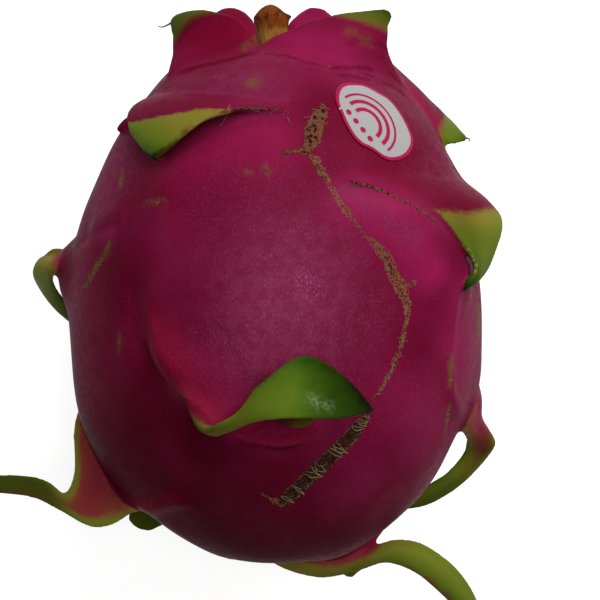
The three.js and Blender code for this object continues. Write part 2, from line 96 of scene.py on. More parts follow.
# Each scale is a leafy flap between a left and a right margin, seen from outside with its tip away from its
# root. PLAIN_SCALE holds what most scales share:
# "green": how far it has turned from rind to leaf along its length, where 0 is rind, 0.25 crimson, 0.4
#     orange, 0.5 yellow, 0.75 mid green, 0.9 dark green and 1 a dried tip
# "slant", "rim", "yellow_right": how much sooner its right side and its margins turn, and how much yellower
#     its right side is
# "tone", "across": how light the leaf is along it and from side to side: partly its own lighter and
#     darker green, partly painted light and shade, lit bands and darker edges
# "border": from where to where its left margin turns leafy by itself, and how leafy it gets
# "rusty", "pale_from": the side (1 is right) whose margin is brown and from where, and where the left one
#     turns cream
# "clean": it turns from rind to leaf without a red band
PLAIN_SCALE = {
    "thick": 2.4, "cup": 0.1, "swell": 0, "slant": 0, "rim": 0, "yellow_right": 0, "clean": False,
    "tone": [(0, 1)], "across": [(0, 1)], "border": (0, 1, 0), "rusty": (1, 1), "pale_from": 1,
}
SCALES = {
    "centre": {
        "left": [(-29, 1, 82), (-25.7, -9.5, 88), (-19.5, -20.5, 92.5), (-14.7, -27, 97), (-8, -22.8, 102),
                 (-2, -16.6, 103), (6.6, -10.9, 101.2), (15.5, -15.3, 98), (22, -22.5, 92.5)],
        "right": [(6, -6, 89), (4.5, -17.5, 90.5), (-3, -26.7, 92), (-11, -28.1, 94.7), (-6.5, -26.5, 99),
                  (-0.5, -24.5, 101.5), (7, -24.5, 101), (15.5, -24.5, 97), (22.5, -23.5, 91.5)],
        "cup": 0.12, "swell": 3, "slant": -0.04, "rim": 0.04, "border": (0.23, 0.36, 0.62),
        "green": [(0.26, 0), (0.34, 0.22), (0.39, 0.5), (0.48, 0.6), (0.6, 0.69), (0.7, 0.77), (0.8, 0.84),
                  (0.94, 0.89), (0.975, 0.95), (0.99, 1)],
        "tone": [(0.35, 0.66), (0.6, 0.86), (0.74, 1.15), (0.83, 0.6)],
        "across": [(-1, 0.6), (-0.7, 1), (0.4, 1), (1, 0.95)],
    },
    "centre_lobe": {
        "left": [(-2, -19, 93.5), (-1.2, -23, 94.5), (1.2, -25.6, 94.8), (4.2, -26.7, 94.8)],
        "right": [(10, -19, 93.5), (9.8, -23.3, 94.6), (8.6, -25.6, 94.9), (6.6, -26.7, 94.8)],
        "thick": 1.6, "slant": 0.32, "green": [(0.45, 0.25), (0.7, 0.45), (1, 0.55)], "tone": [(0, 0.5)],
    },
    "upper_left": {
        "left": [(-26, 49, 58), (-33, 45.3, 63), (-33.5, 41, 69), (-31, 36.5, 73), (-27, 32.5, 76.5)],
        "right": [(8, 45.5, 77), (3, 42.8, 81.9), (-4, 43, 83.3), (-8.8, 42.2, 84.2), (-14.3, 40.4, 84.8),
                  (-17.8, 38, 85), (-21, 35.3, 83.8), (-25.7, 31.8, 79)],
        "swell": 1, "slant": 0.03, "rim": 0.09, "yellow_right": 0.12, "rusty": (1, 0.62), "clean": True,
        "green": [(0.545, 0), (0.562, 0.5), (0.6, 0.58), (0.8, 0.66), (0.9, 0.74), (0.95, 0.92), (0.98, 1)],
        "tone": [(0.5, 1.18)],
    },
    "right": {
        "left": [(12, 29.5, 82), (17, 26.4, 86), (21.5, 25.4, 85.2), (28.6, 22.8, 83.4), (36.4, 18.8, 79.2),
                 (42, 14, 76), (45.8, 8.2, 74.4), (42.2, 3.4, 75)],
        "right": [(41, 38, 42), (45.5, 29.5, 46), (50.4, 24, 58), (53.3, 18.6, 62), (50.6, 10, 66),
                  (46.6, 4.8, 71.5), (42, 2.6, 73.6)],
        "swell": 1.8, "slant": 0.05, "rim": 0.06, "pale_from": 0.62, "clean": True,
        "green": [(0.485, 0), (0.52, 0.4), (0.56, 0.56), (0.66, 0.66), (0.86, 0.72), (0.94, 0.86),
                  (0.985, 1)], "tone": [(0.52, 1.15), (0.6, 0.85), (0.8, 0.66)],
        "across": [(-1, 1), (-0.3, 0.78), (0.35, 1.05), (1, 0.9)],
    },
    "left": {
        "left": [(-42, 20, 28), (-48, 15, 32), (-54, 12.2, 36), (-58.3, 11, 38), (-60.2, 8, 37),
                 (-59.8, 4.5, 33), (-57, -0.8, 27), (-53.5, -5, 21), (-48.5, -9, 16)],
        "right": [(-41, 20, 58), (-46, 13, 55), (-49.8, 7.4, 52), (-53.2, 6.8, 48), (-54.7, 5.2, 42),
                  (-54.4, 3, 36.5), (-53.2, 0.6, 31), (-51.6, -1.8, 26), (-47.5, -7, 18)],
        "swell": 0.6, "slant": -0.06, "rim": 0.06,
        "green": [(0.17, 0), (0.26, 0.3), (0.34, 0.5), (0.46, 0.63), (0.8, 0.7), (1.1, 0.8)],
        "tone": [(0.4, 1.15), (0.8, 0.55)], "across": [(-1, 0.85), (0.1, 1.15), (1, 0.7)],
    },
    "left_lobe": {
        "left": [(-43, 9, 40), (-50.5, 12.4, 40), (-54.4, 13.6, 40), (-57, 12, 40)],
        "right": [(-43, 3, 39), (-50.5, 7.5, 39), (-54.3, 8.8, 39), (-57.2, 10, 39.5)],
        "thick": 2.6, "cup": 0, "green": [(0, 0.5), (1, 0.62)], "tone": [(0, 0.75)],
    },
    "lower_right": {
        "left": [(44, -12, 58), (46, -23, 55), (45.5, -31, 50), (47, -33.8, 42), (46.3, -38, 37),
                 (43.2, -42.5, 33), (39.5, -45.5, 29), (34.5, -49.5, 25), (30, -52, 22)],
        "right": [(43, -14, 28), (48.3, -22, 32), (51.2, -29, 38), (54.3, -33.8, 40), (53.3, -37.8, 37.5),
                  (48.8, -43.6, 34), (44.3, -48.2, 30), (38.5, -51.8, 26), (31.5, -53.7, 22)],
        "thick": 2.2, "cup": 0.15, "swell": 1, "slant": -0.02, "rim": 0.3,
        "green": [(0.2, 0), (0.32, 0.3), (0.48, 0.42), (0.6, 0.6), (0.95, 0.68), (1.25, 0.78)],
        "tone": [(0.25, 1), (0.42, 0.7), (0.6, 1.15), (0.85, 0.8)],
        "across": [(-1, 1.25), (-0.3, 1.1), (0.3, 0.72), (1, 0.85)],
    },
    "lower_left": {
        "left": [(-46, -20, 42), (-49.4, -30, 42), (-49.4, -41, 42), (-51.5, -46.5, 43), (-56, -44, 42),
                 (-62, -43, 38), (-70, -43.5, 31), (-78, -46, 21), (-83, -50, 13)],
        "right": [(-24, -46, 55), (-32.5, -50.5, 52), (-41, -54.2, 48.5), (-46, -54, 46.5), (-53, -51, 43),
                  (-60, -48.5, 38), (-70, -48.5, 30), (-77.5, -50, 20), (-83.5, -51.5, 12)],
        "thick": 2.2, "cup": -0.15, "swell": 1, "rim": 0.42, "rusty": (1, 0.5),
        "green": [(-0.1, 0), (0, 0.2), (0.2, 0.26), (0.38, 0.33), (0.6, 0.6), (0.9, 0.68), (1.4, 0.8)],
        "tone": [(0.2, 1.5), (0.4, 1.1), (0.52, 0.52)],
    },
    "lower_left_curl": {
        "left": [(-34, -44, 28), (-36.5, -51, 31), (-37, -54.5, 33), (-34.5, -56.8, 34)],
        "right": [(-21, -49, 30), (-24.5, -52, 32), (-28, -55.4, 34), (-31.5, -57.3, 34.5)],
        "thick": 2.2, "green": [(0, 0.5), (0.4, 0.62), (1, 0.72)], "tone": [(0, 0.55)],
    },
    "bottom_right": {
        "left": [(-7, -60, 35.5), (1, -65.6, 37.5), (11, -68, 39), (20, -66, 41.5), (27, -64, 41),
                 (34, -67, 37), (41, -73, 30), (48, -81.5, 20), (55, -91, 9)],
        "right": [(28, -49, 44), (27.2, -54.5, 45), (24.8, -58, 45), (25.5, -58.9, 44), (30, -58.2, 42),
                  (37, -60.1, 37), (45, -66.5, 30), (52, -77, 20), (56.5, -90.5, 9)],
        "cup": 0.12, "swell": 1, "slant": -0.19, "rim": 0.05, "rusty": (-1, 0.5),
        "green": [(0.06, 0.16), (0.2, 0.27), (0.29, 0.5), (0.5, 0.6), (0.85, 0.67), (1.05, 0.8)],
        "tone": [(0.2, 1.6), (0.34, 0.9), (0.6, 1.05)],
        "across": [(-1, 0.75), (-0.2, 1), (0.35, 1.15), (1, 0.85)],
    },
    "bottom_right_lobe": {
        "left": [(12, -63, 37), (14.5, -66.3, 37.5), (17, -67.8, 38), (18.8, -68.4, 38)],
        "right": [(24, -62, 38), (23.6, -64.6, 38.5), (21.5, -66.2, 38.5), (19.4, -68, 38.2)],
        "thick": 1.4, "cup": 0, "green": [(0, 0.48), (1, 0.6)], "tone": [(0, 0.8)],
    },
    "upper_right": {
        "left": [(24, 54, 62), (31, 46, 56), (35.5, 40.8, 50), (42, 38.8, 44), (47.2, 40.1, 39)],
        "right": [(27, 58, 34), (35, 53.5, 34), (40.4, 48.9, 34), (44.6, 44.6, 35.5), (47.6, 40.8, 38)],
        "thick": 2, "cup": 0.15, "swell": 1, "rusty": (1, 0.6), "clean": True,
        "green": [(0.55, 0), (0.62, 0.45), (0.68, 0.66), (0.9, 0.74), (1, 0.82)], "tone": [(0, 0.8)],
    },
    "top_right": {
        "left": [(31.5, 47, 56), (30, 54, 56), (27.5, 60, 56), (27, 65, 55), (28, 68.5, 53.5)],
        "right": [(-7, 57, 64), (-1.6, 61.3, 63), (3, 63.6, 62), (9.1, 66.3, 61), (13.9, 67.6, 60),
                  (20, 69, 57), (27, 70.2, 54)],
        "thick": 3.2, "cup": 0.15, "swell": 0.6, "slant": 0.03, "clean": True,
        "green": [(0.62, 0), (0.7, 0.46), (0.8, 0.6), (0.92, 0.74), (1, 0.86)],
        "tone": [(0.7, 0.62), (0.95, 0.36)],
    },
    "top_left": {
        "left": [(-5, 53, 64), (-4.9, 60, 63.5), (-5.8, 64, 62.5), (-9, 66.8, 61), (-13, 68.3, 59.5),
                 (-18, 69.3, 57), (-23.3, 68.9, 53)],
        "right": [(-28, 46, 58), (-25, 54, 57), (-24, 60, 56), (-24.3, 64.3, 55), (-24.9, 66.9, 52)],
        "thick": 3.2, "cup": 0.15, "swell": 0.6, "slant": 0.06, "rim": 0.12,
        "green": [(0.55, 0), (0.68, 0.3), (0.78, 0.6), (0.95, 0.72), (1.15, 0.8)],
        "tone": [(0.45, 1), (0.65, 0.5)],
    },
    "upper_left_point": {
        "left": [(-29, 44, 55), (-32, 45.2, 57), (-35, 44, 58), (-37.6, 41.4, 57.5)],
        "right": [(-31, 39, 55), (-33.5, 40.5, 57), (-35.8, 40.8, 57.5), (-37.4, 40.2, 57)],
        "thick": 1.8, "green": [(0.85, 0), (1, 0.4)],
    },
    "stem_lobe_left": {
        "left": [(-3.6, 54, 60), (-3.7, 61, 60), (-4.4, 65.3, 58), (-6.6, 68.6, 55)],
        "right": [(-18, 54, 58), (-17.5, 62, 58), (-16, 66.6, 56), (-12.5, 69.9, 54)],
        "thick": 4, "cup": 0.2, "green": [(0.6, 0), (1, 0.1)],
    },
    "stem_lobe_right": {
        "left": [(20, 52, 44), (19, 62.5, 44), (16.5, 67.5, 44), (12, 72, 44)],
        "right": [(0, 52, 47), (0.5, 62, 47.5), (2.6, 66.4, 47), (5, 69.8, 46), (8.6, 72.3, 45)],
        "thick": 3.5, "cup": -0.2, "green": [(0.6, 0), (1, 0.1)],
    },
}

# The scales on the sides and the back: the root's angle round the core from straight up towards +X and its
# distance along the core, then the width, length, lift off the skin, curl, and lean from the flower end.
GROWN_SCALES = [
    (180, 50, 26, 22, 14, 30, 0), (-112, 54, 22, 18, 12, 40, -20), (-146, 36, 30, 30, 10, 40, -10),
    (142, 28, 30, 30, 10, 40, 10), (128, 2, 30, 32, 10, 50, 22), (-132, -2, 30, 34, 10, 44, -18),
    (152, -22, 28, 34, 10, 34, 6), (-156, -30, 26, 32, 10, 34, 6), (116, -42, 22, 26, 2, 26, 62),
    (176, -46, 22, 24, 4, 10, 0), (-122, -46, 20, 24, 2, 26, -50),
]
GROWN = {
    "stations": 6, "thick": 2.2, "cup": -0.1, "swell": 2.4, "root_share": 0.3, "root_depth": 1.5,
    "tip_half_width": 0.5, "taper": 1.7, "clearance": 1.6,
    "green": [(0.3, 0), (0.5, 0.34), (0.66, 0.52), (0.84, 0.74), (0.95, 0.9), (1, 1)],
    "rim": 0.12,
}

# ---- arrays of points


def length(rows):
    return np.linalg.norm(rows, axis=-1, keepdims=True)


def unit(rows):
    return rows / np.maximum(length(rows), 1e-9)


def dot(rows, others):
    return (rows * others).sum(axis=-1)


def bell(distance, reach):
    """1 at no distance, falling smoothly to almost 0 at twice the reach."""
    return np.exp(-((distance / reach) ** 2))


def power(value, exponent):
    return np.sign(value) * np.abs(value) ** exponent


def smooth(low, high, value):
    """0 up to the low value, climbing smoothly to 1 at the high one."""
    share = np.clip((value - low) / (high - low), 0.0, 1.0)
    return share * share * (3.0 - 2.0 * share)


def smooth_line(points, shares):
    """Points on the smooth curve through the given ones, at shares of the way along it."""
    knots = np.array(points, float)
    knots = np.vstack([2 * knots[0] - knots[1], knots, 2 * knots[-1] - knots[-2]])
    place = np.clip(np.asarray(shares, float), 0.0, 1.0) * (len(points) - 1)
    first = np.minimum(place.astype(int), len(points) - 2)
    t = (place - first)[..., None]
    before, start, end, after = (knots[first + k] for k in range(4))
    leave = (end - before) / 2
    arrive = (after - start) / 2
    cubic = 2 * start - 2 * end + leave + arrive
    square = -3 * start + 3 * end - 2 * leave - arrive
    return ((cubic * t + square) * t + leave) * t + start


# ---- the rind's plain egg


def end_length(y):
    return np.where(y >= WAIST_Y, STEM_LENGTH, FLOWER_LENGTH)


def outward(points):
    """The outward way of the plain egg's skin at or near these points."""
    x, y, z = points[..., 0], points[..., 1], points[..., 2]
    slope = [x / HALF_WIDTH**2, (y - WAIST_Y) / end_length(y) ** 2, (z - CORE_HEIGHT) / HALF_DEPTH**2]
    return unit(np.stack(slope, axis=-1))


def egg_points(directions):
    """The plain egg's points that lie in these directions from its waist."""
    x, y, z = directions[..., 0], directions[..., 1], directions[..., 2]
    spread = np.hypot(x, z)
    widened = spread**FULLNESS / np.maximum(spread, 1e-9)
    end = np.where(y >= 0, STEM_LENGTH, FLOWER_LENGTH)
    along = WAIST_Y + end * power(y, FULLNESS)
    return np.stack([HALF_WIDTH * x * widened, along, CORE_HEIGHT + HALF_DEPTH * z * widened], axis=-1)


def sphere_directions(points):
    """The directions that egg_points turns into these points or points below them."""
    x = points[..., 0] / HALF_WIDTH
    y = (points[..., 1] - WAIST_Y) / end_length(points[..., 1])
    z = (points[..., 2] - CORE_HEIGHT) / HALF_DEPTH
    spread = np.hypot(x, z)
    drawn = spread ** (1 / FULLNESS) / np.maximum(spread, 1e-9)
    return unit(np.stack([x * drawn, power(y, 1 / FULLNESS), z * drawn], axis=-1))


def egg_at(around, y):
    """The plain egg's point at this angle round its core, in degrees, and at this y."""
    climb = min(1.0, abs(y - WAIST_Y) / float(end_length(y))) ** (1 / FULLNESS)
    spread = math.sqrt(1 - climb**2)
    turn = math.radians(around)
    way = [math.sin(turn) * spread, math.copysign(climb, y - WAIST_Y), math.cos(turn) * spread]
    return egg_points(np.array(way))


# ---- where each scale lies


def turned(vector, axis, angle):
    """vector turned round a unit axis by an angle in radians."""
    across = np.cross(axis, vector)
    along = axis * np.dot(axis, vector)
    return along + (vector - along) * math.cos(angle) + across * math.sin(angle)


def grown_scale(around, y, width, long, lift, curl, lean):
    """A scale that grows off the skin station by station, from one row of GROWN_SCALES."""
    root = egg_at(around, y)
    up = outward(root)
    heading = unit(np.array([0.0, -1.0, 0.0]) + up * up[1])
    heading = turned(heading, up, math.radians(lean))
    sideways = np.cross(heading, up)
    set_back = GROWN["root_share"] * width
    step = (long + set_back) / (GROWN["stations"] - 1)
    middle = root - heading * set_back - up * GROWN["root_depth"]
    margins = {"left": [], "right": []}
    for i in range(GROWN["stations"]):
        share = i / (GROWN["stations"] - 1)
        half = width / 2 + (GROWN["tip_half_width"] - width / 2) * share ** GROWN["taper"]
        wrap = half**2 / (2 * HALF_WIDTH)
        for side, name in ((-half, "left"), (half, "right")):
            corner = middle + sideways * side - up * wrap
            corner[2] = max(corner[2], GROWN["clearance"])
            margins[name].append(tuple(corner))
        pitch = math.radians(lift * min(1.0, 2 * share) + curl * share**2)
        middle = middle + heading * step * math.cos(pitch) + up * step * math.sin(pitch)
        middle[2] = max(middle[2], GROWN["clearance"])
    return {**GROWN, **margins}


GROWN_ONES = [grown_scale(*row) for row in GROWN_SCALES]
ALL_SCALES = [{**PLAIN_SCALE, **scale} for scale in [*SCALES.values(), *GROWN_ONES]]


def midrib(scale, shares):
    """Points halfway between a scale's margins at shares of its length."""
    return (smooth_line(scale["left"], shares) + smooth_line(scale["right"], shares)) / 2


def cushion(scale):
    """The raised rind that runs down into a scale: its place, its directions and its size."""
    lift_off = 1 / (len(scale["left"]) - 1)
    root, anchor, ahead = midrib(scale, np.array([0, lift_off, 2 * lift_off]))
    up = outward(anchor)
    heading = unit(ahead - root - up * np.dot(ahead - root, up))
    across = smooth_line(scale["left"], lift_off) - smooth_line(scale["right"], lift_off)
    return anchor, up, heading, np.cross(up, heading), scale["swell"], float(length(across)[0]) / 2


CUSHIONS = [cushion(scale) for scale in ALL_SCALES if scale["swell"] > 0]


def swell_height(points):
    """How far the cushions under the scales raise the skin at these points."""
    height = np.zeros(points.shape[:-1])
    for anchor, up, heading, side, rise, half_width in CUSHIONS:
        away = points - anchor
        ahead = dot(away, heading)
        reach = half_width * np.where(ahead > 0, SWELL["front"], SWELL["back"])
        width = half_width * SWELL["side"] + np.maximum(0.0, -ahead) * SWELL["spread"]
        through = half_width * SWELL["through"]
        height += rise * bell(ahead, reach) * bell(dot(away, side), width) * bell(dot(away, up), through)
    return height


# ---- folds and marks on the upper skin

# Each fold is a width, a height and a path of (x, y) over the upper skin, seen from above: a ridge where the
# height is above 0 and a groove where it is below.
FOLDS = [
    (3.4, 2.2, [(-11, -27.5), (-5, -28.3), (1, -28.6), (7, -27.8), (13, -25.5)]),
    (1.1, -1.4, [(-12.5, -27.5), (-9.6, -28.9), (-5.8, -30.4), (-1.4, -31.6), (2.2, -32.2), (6.1, -31),
     (12, -28)]),
    (2.4, 0.5, [(-9, -33), (-4, -34.2), (0, -35), (4, -34.8), (9, -33), (14, -30)]),
    (1.5, -0.6, [(-23, 33), (-16, 36.5), (-9, 39.5), (0, 41), (8, 40)]),
    (5.5, 1.4, [(-32, 16), (-26, 22), (-20, 28), (-13, 32), (-6, 35.5), (2, 36.5), (10, 34)]),
    (5.5, 3.4, [(12, 28), (18.5, 23), (22, 20), (28, 15.5), (33, 11), (36.5, 6), (38, 0), (38, -8)]),
    (5, 1, [(-24, -2), (-21.5, -8), (-18, -13), (-13, -16.5), (-7, -18.5), (-2, -19)]),
    (4, 2.8, [(-27.5, -3), (-24.5, -10), (-20, -15.5), (-14.5, -19.5), (-8, -21.5), (-2, -21.5)]),
    (4.2, 3.4, [(20, 25), (26, 22), (31, 19), (36, 15), (40.5, 10), (43, 4), (43.5, -4)]),
    (3.4, -1.2, [(-30, 9), (-30.7, 0.7), (-29.8, -8), (-26.3, -17), (-21, -25)]),
    (3.6, 0.8, [(-32, 20.5), (-36, 19.5), (-40, 17.8), (-44, 15.6)]),
    (1.8, 0.8, [(39.8, 9), (40.1, 3), (40.3, -5), (40.2, -14), (40.8, -21), (44, -25.5), (49, -29)]),
    (1.7, -1.3, [(-29.8, -7), (-28.4, -11.5), (-25.4, -16), (-21.6, -20.6)]),
    (2.2, 1.5, [(-35, -49.5), (-30, -48), (-25.5, -46), (-21, -44.4), (-16, -44)]),
]
# Fine creases: a width, a depth and a path; the depth sets a bump and a painted shade in each crease.
CREASES = [
    (0.7, 0.6, [(12.3, 53.9), (16.2, 54.4), (19.7, 54.8), (24, 54.3)]),
    (0.6, 0.5, [(19.7, 53.4), (23.2, 52.5), (29.1, 50)]),
    (0.6, 0.5, [(12.6, 52.2), (17.9, 52.2), (23.2, 51.4), (29.1, 49.7), (32, 47.5)]),
    (0.6, 0.4, [(26.4, 54.6), (29.1, 52.2), (32, 50)]),
    (0.6, 0.5, [(-3.6, 57.6), (0.6, 57.1), (3.8, 56.5), (9.1, 54.7), (13, 53.5)]),
    (0.8, 0.7, [(-24, 53), (-17.3, 54.8), (-12.1, 55.7), (-6.4, 57.4), (-3.6, 58)]),
    (1, 0.22, [(-47, 12.6), (-42.6, 15.4), (-38.2, 17), (-33.5, 18)]),
    (0.9, 0.4, [(16.5, 60), (20.5, 61.4), (25, 60.4), (28, 58.5)]),
]
# Where the flesh flows smoothly from the body into a scale: a reach and a path.
SOFT_PLACES = [
    (3, [(-20.5, -16), (-16, -19), (-11, -21.8), (-7, -23)]), (3.5, [(26.5, 58), (30.4, 52), (32, 46.5)]),
    (3, [(-30, -50), (-35, -49), (-40, -46)]),
]
SOOTHING = {"share": 0.8, "rounds": 70}
FLOWER_END_SHADE = {"from": -12.0, "to": -58.0, "slant": 0.35, "most": 0.75}  # painted shade: the rind is darkened towards its flower end and a little to the left, away from the lamps
# Marks on the rind, each a path of (x, y, half width): tan corky patches, thin nets of fibre, dark torn bands
# and the brown crumbs along the crest of a scale.
CORK_PATCHES = [
    [(11.2, 44.6, 0.3), (10.6, 42.2, 1.6), (9.5, 39.5, 2.1), (8.9, 36.5, 2), (7.9, 34, 1.2)],
    [(8, 34.4, 1), (8.9, 31.4, 0.7), (10.3, 28.8, 0.65), (11.8, 26.6, 0.5)],
    [(8, 33, 0.9), (5.5, 33.5, 0.6), (2.2, 32.6, 0.7)], [(-0.5, 28.5, 0.4), (-0.9, 29, 0.4)],
    [(-2, 31.2, 0.1), (-1.7, 29.8, 0.3)], [(9.8, 54.2, 0.2), (10.3, 54.2, 0.2)],
    [(-6.8, 59.2, 0.4), (-5.4, 60.2, 0.8), (-4.3, 61.6, 0.5)], [(17.2, 63.5, 0.4), (18.2, 63.3, 0.4)],
    [(21, 61.8, 0.2), (21.7, 61.6, 0.2)], [(12, 54, 0.2), (13.6, 54.6, 0.2)],
]
SCAR_NETS = [
    [(8.7, 33.1, 0.9), (10.5, 30.3, 0.8), (12, 27, 0.8), (13.3, 24.8, 0.8), (14.9, 21.9, 0.8),
     (16.6, 19.5, 0.9), (18.4, 17.2, 0.4), (20.8, 14.4, 0.3)],
    [(20.5, 14.6, 0.3), (23, 12.4, 1), (25.6, 9.1, 1.4), (26.8, 6.2, 1.5), (28.3, 2.9, 1.5),
     (29.6, 0.5, 1.2), (30, -2, 0.8), (29.2, -6, 0.7), (28.5, -9.4, 0.7), (26.6, -13.9, 0.7),
     (25, -17.3, 0.7), (22.5, -20.9, 0.5)],
    [(27.5, 4, 0.6), (29.5, 4, 0.9), (32, 4.4, 0.5)],
    [(-37.2, 13.3, 0.6), (-38.8, 10.3, 1), (-40.8, 8, 1), (-42.4, 5.3, 0.9), (-44.4, 3.7, 0.4)],
    [(-34.8, 30.5, 0.6), (-35, 28.5, 0.9), (-34.8, 26.9, 0.8)],
    [(-28.2, 22.5, 0.4), (-26, 22.2, 0.6), (-23.8, 22.6, 0.3)],
    [(2, -44.5, 1), (-1, -43, 0.6), (-3.2, -41.5, 0.2)], [(41.8, 3.4, 0.4), (41.9, 0.8, 0.5)],
    [(40.9, -11.5, 0.3), (40.7, -15, 0.6), (40.4, -19.5, 0.5)],
    [(40.5, -23, 0.4), (40.3, -26, 0.7), (39.8, -29, 0.4), (39.2, -35, 0.2)],
    [(48.2, 0, 0.6), (48.6, -4, 1.2), (48.6, -9, 0.6)], [(-34.2, -7.5, 0.4), (-34.5, -9, 0.4)],
]
SCAR_BANDS = [
    [(20.5, -25.3, 0.9), (19, -27, 1.6), (17.5, -29, 1.85), (14.5, -32, 1.9), (12, -34.5, 2.1),
     (9.5, -37, 2), (7, -39.5, 1.9), (4, -42.5, 1.9), (2, -44.5, 1.1)],
    [(24.5, 10.6, 0.2), (26, 8.3, 0.45), (26.9, 6, 0.5), (28.2, 3, 0.4), (29.3, 0.9, 0.2)],
]
CRESTS = [
    [(-22.5, -15.5, 0.1), (-20.9, -18.2, 0.4), (-19.2, -20.6, 0.45), (-17.8, -22.5, 0.1)],
    [(-11.5, 42, 0.15), (-9, 42.5, 0.3), (-5, 43, 0.4), (0, 42.6, 0.35), (3.5, 42.2, 0.2)],
    [(17.5, 26.4, 0.3), (21.5, 25.6, 0.45), (25, 24.2, 0.4), (28.5, 22.6, 0.4), (33, 20.2, 0.35),
     (37, 17.6, 0.25)],
]
SCAR_DEPTH = 0.7
# The share of a fold and of a crease over which it fades out at both ends.
FOLD_FADING = 0.28
CREASE_FADING = 0.12
# Soft brush strokes, each a reach, an amount and a path of (x, y): first where the rind's pale wax lies
# thickest, together with a painted highlight on top and painted sheen along the edges, then other colours
# of the rind in the order they are laid on, each an attribute, its colour and its strokes: painted shade and
# painted light, then the rind's own crimson, coral and stains, broken by wear; and last a painted glint
# where the lamp shows on the skin and on the central leaf.
WAX_AND_HIGHLIGHT_STROKES = [
    (16, 1, [(4, 4), (3, -4)]), (11, 0.6, [(27, 47), (28, 45)]), (12, 0.6, [(-18, 49), (-8, 51)]),
    (9, 0.62, [(41, 32), (38, 25)]), (7, 1, [(46, 2), (46, -18)]), (10, 0.3, [(0, -20), (1, -20)]),
    (9, 1, [(-37, 31), (-41, 23)]), (11, 0.75, [(-46, -4), (-45, -16)]), (9, 0.55, [(38, -38), (42, -32)]),
    (8, 0.25, [(16, -44), (22, -41)]), (9, 0.35, [(35, -31), (34, -26)]), (6, 0.35, [(33, -47), (37, -42)]),
    (9, 0.15, [(-10, -45), (2, -51)]), (5, 0.35, [(24, -47), (28, -44)]), (5, 0.3, [(23, 2), (21, -8)]),
    (6, 0.2, [(14, -9), (17, -9)]), (3.2, 0.6, [(17, 24.6), (24, 20.3), (31, 14.5)]),
]
TINTS = [
    # painted shade: darker magenta where the rind lies in shade beside scales, folds and lobes
    ("shaded", (0.07, 0.001, 0.012), [
        (7.5, 0.4, [(-11, 22), (-10, 10), (-4, 10)]), (7, 0.5, [(-14, -6), (-8, -8), (-10, -16)]),
        (5, 0.35, [(32, 9), (33, -3), (34, -12)]), (4, 0.5, [(41, 11), (42.5, 7)]),
        (4, 0.4, [(-29, -14), (-29, -20)]), (5, 0.35, [(20, -23), (25, -28)]),
        (2.5, 0.7, [(19, 59.5), (25, 58)]), (7, 0.3, [(-30, -2), (-31, 8)]),
        (5.5, 0.7, [(-18, 66), (-15, 64.5)]),
    ]),
    # painted light: lighter magenta laid where light falls on bulges, ridges and the bases of scales
    ("painted_light", (0.215, 0.007, 0.052), [
        (8, 0.55, [(7, 59), (15, 58)]), (5, 0.5, [(-25, 60), (-20, 56)]), (9, 0.15, [(-23, 20), (-21, 5)]),
        (4.5, 0.3, [(-23, -33), (-20, -37)]), (5, 0.8, [(8, 68), (14, 68)]),
        (7, 0.45, [(-19, 31), (-7, 35), (0, 35)]), (5.5, 0.9, [(19, 22), (24, 17.5), (30, 12.5), (35, 7)]),
        (7, 0.9, [(26, 19), (31, 14)]), (11, 0.4, [(36, -29), (33, -24)]),
        (9, 0.25, [(16, -44), (20, -41)]), (6, 0.4, [(-18, -16), (-12, -20)]),
        (3.5, 0.6, [(-8, -27), (0, -28.6), (9, -27.5)]), (4, 0.7, [(33, 50), (38, 45), (40, 41)]),
        (7, 0.3, [(-44, 13), (-46, 6)]), (8, 0.45, [(42, 2), (42, -18)]),
        (2, 0.9, [(-9, -28.4), (-1, -30.4), (5, -30)]), (7, 0.4, [(-38, 31), (-40, 26)]),
        (2.5, 0.6, [(-45, 13.2), (-41, 15.2), (-37, 16.3)]),
    ]),
]
WORN_TINTS = [
    ("crimson", (0.135, 0.002, 0.015), [
        (6, 0.7, [(-27, -6), (-22, -14), (-16, -20)]), (4, 0.8, [(-10, -26), (0, -28.4), (8, -28)]),
        (8, 0.6, [(-20, 66), (-14, 61), (-8, 64)]), (5, 0.6, [(33, 50), (38, 45), (40, 41)]),
        (8, 0.4, [(-20, 30), (-12, 33)]), (4, 1, [(12, -61), (18, -59.5), (24, -56)]),
        (2.6, 0.8, [(-34, -48.6), (-28, -46.8)]), (2, 0.4, [(-28, -46.8), (-22, -44.6)]),
        (8, 0.2, [(22, 34), (28, 28)]),
    ]),
    ("coral", (0.2, 0.014, 0.03), [
        (2.4, 0.6, [(-19, -20), (-16.5, -22.5), (-13, -26)]),
    ]),
    ("stain", (0.095, 0.05, 0.012), [
        (0.6, 0.8, [(40.4, -12), (40.1, -19)]), (0.6, 0.6, [(40.1, -24), (39.8, -28)]),
        (0.5, 0.4, [(39.8, -28), (39.2, -36)]),
        (0.9, 0.8, [(-37.2, 13.3), (-38.8, 10.3), (-40.8, 8), (-43, 4.6)]),
        (0.9, 0.6, [(-34.9, 30), (-34.8, 27)]), (0.6, 0.6, [(-28, 22.5), (-24, 22.6)]),
        (1.1, 0.9, [(47.8, 0), (48, -8)]), (1.5, 0.9, [(-4.5, 49.6), (-4.2, 49.7)]),
        (0.9, 0.6, [(-34.3, -7.5), (-34.6, -10)]), (1, 0.7, [(17.4, 63.4), (18.6, 63.2)]),
        (0.9, 0.6, [(-6.8, 59.2), (-5.4, 60.4), (-4.3, 61.8)]), (1.2, 0.5, [(20.5, 61.8), (22.5, 61.4)]),
        (0.7, 0.8, [(-1.4, 29.6), (-0.8, 28.4)]), (0.6, 0.6, [(-5.4, 28.6), (-5, 28.4)]),
    ]),
]
# painted glint: small highlights where the lamp shows on the skin and on the central leaf
GLINT_STROKES = [
    (2.4, 1, [(7.5, 4.5), (9, 3)]), (1.2, 0.6, [(8.2, -20.2), (12, -21.8)]),
]


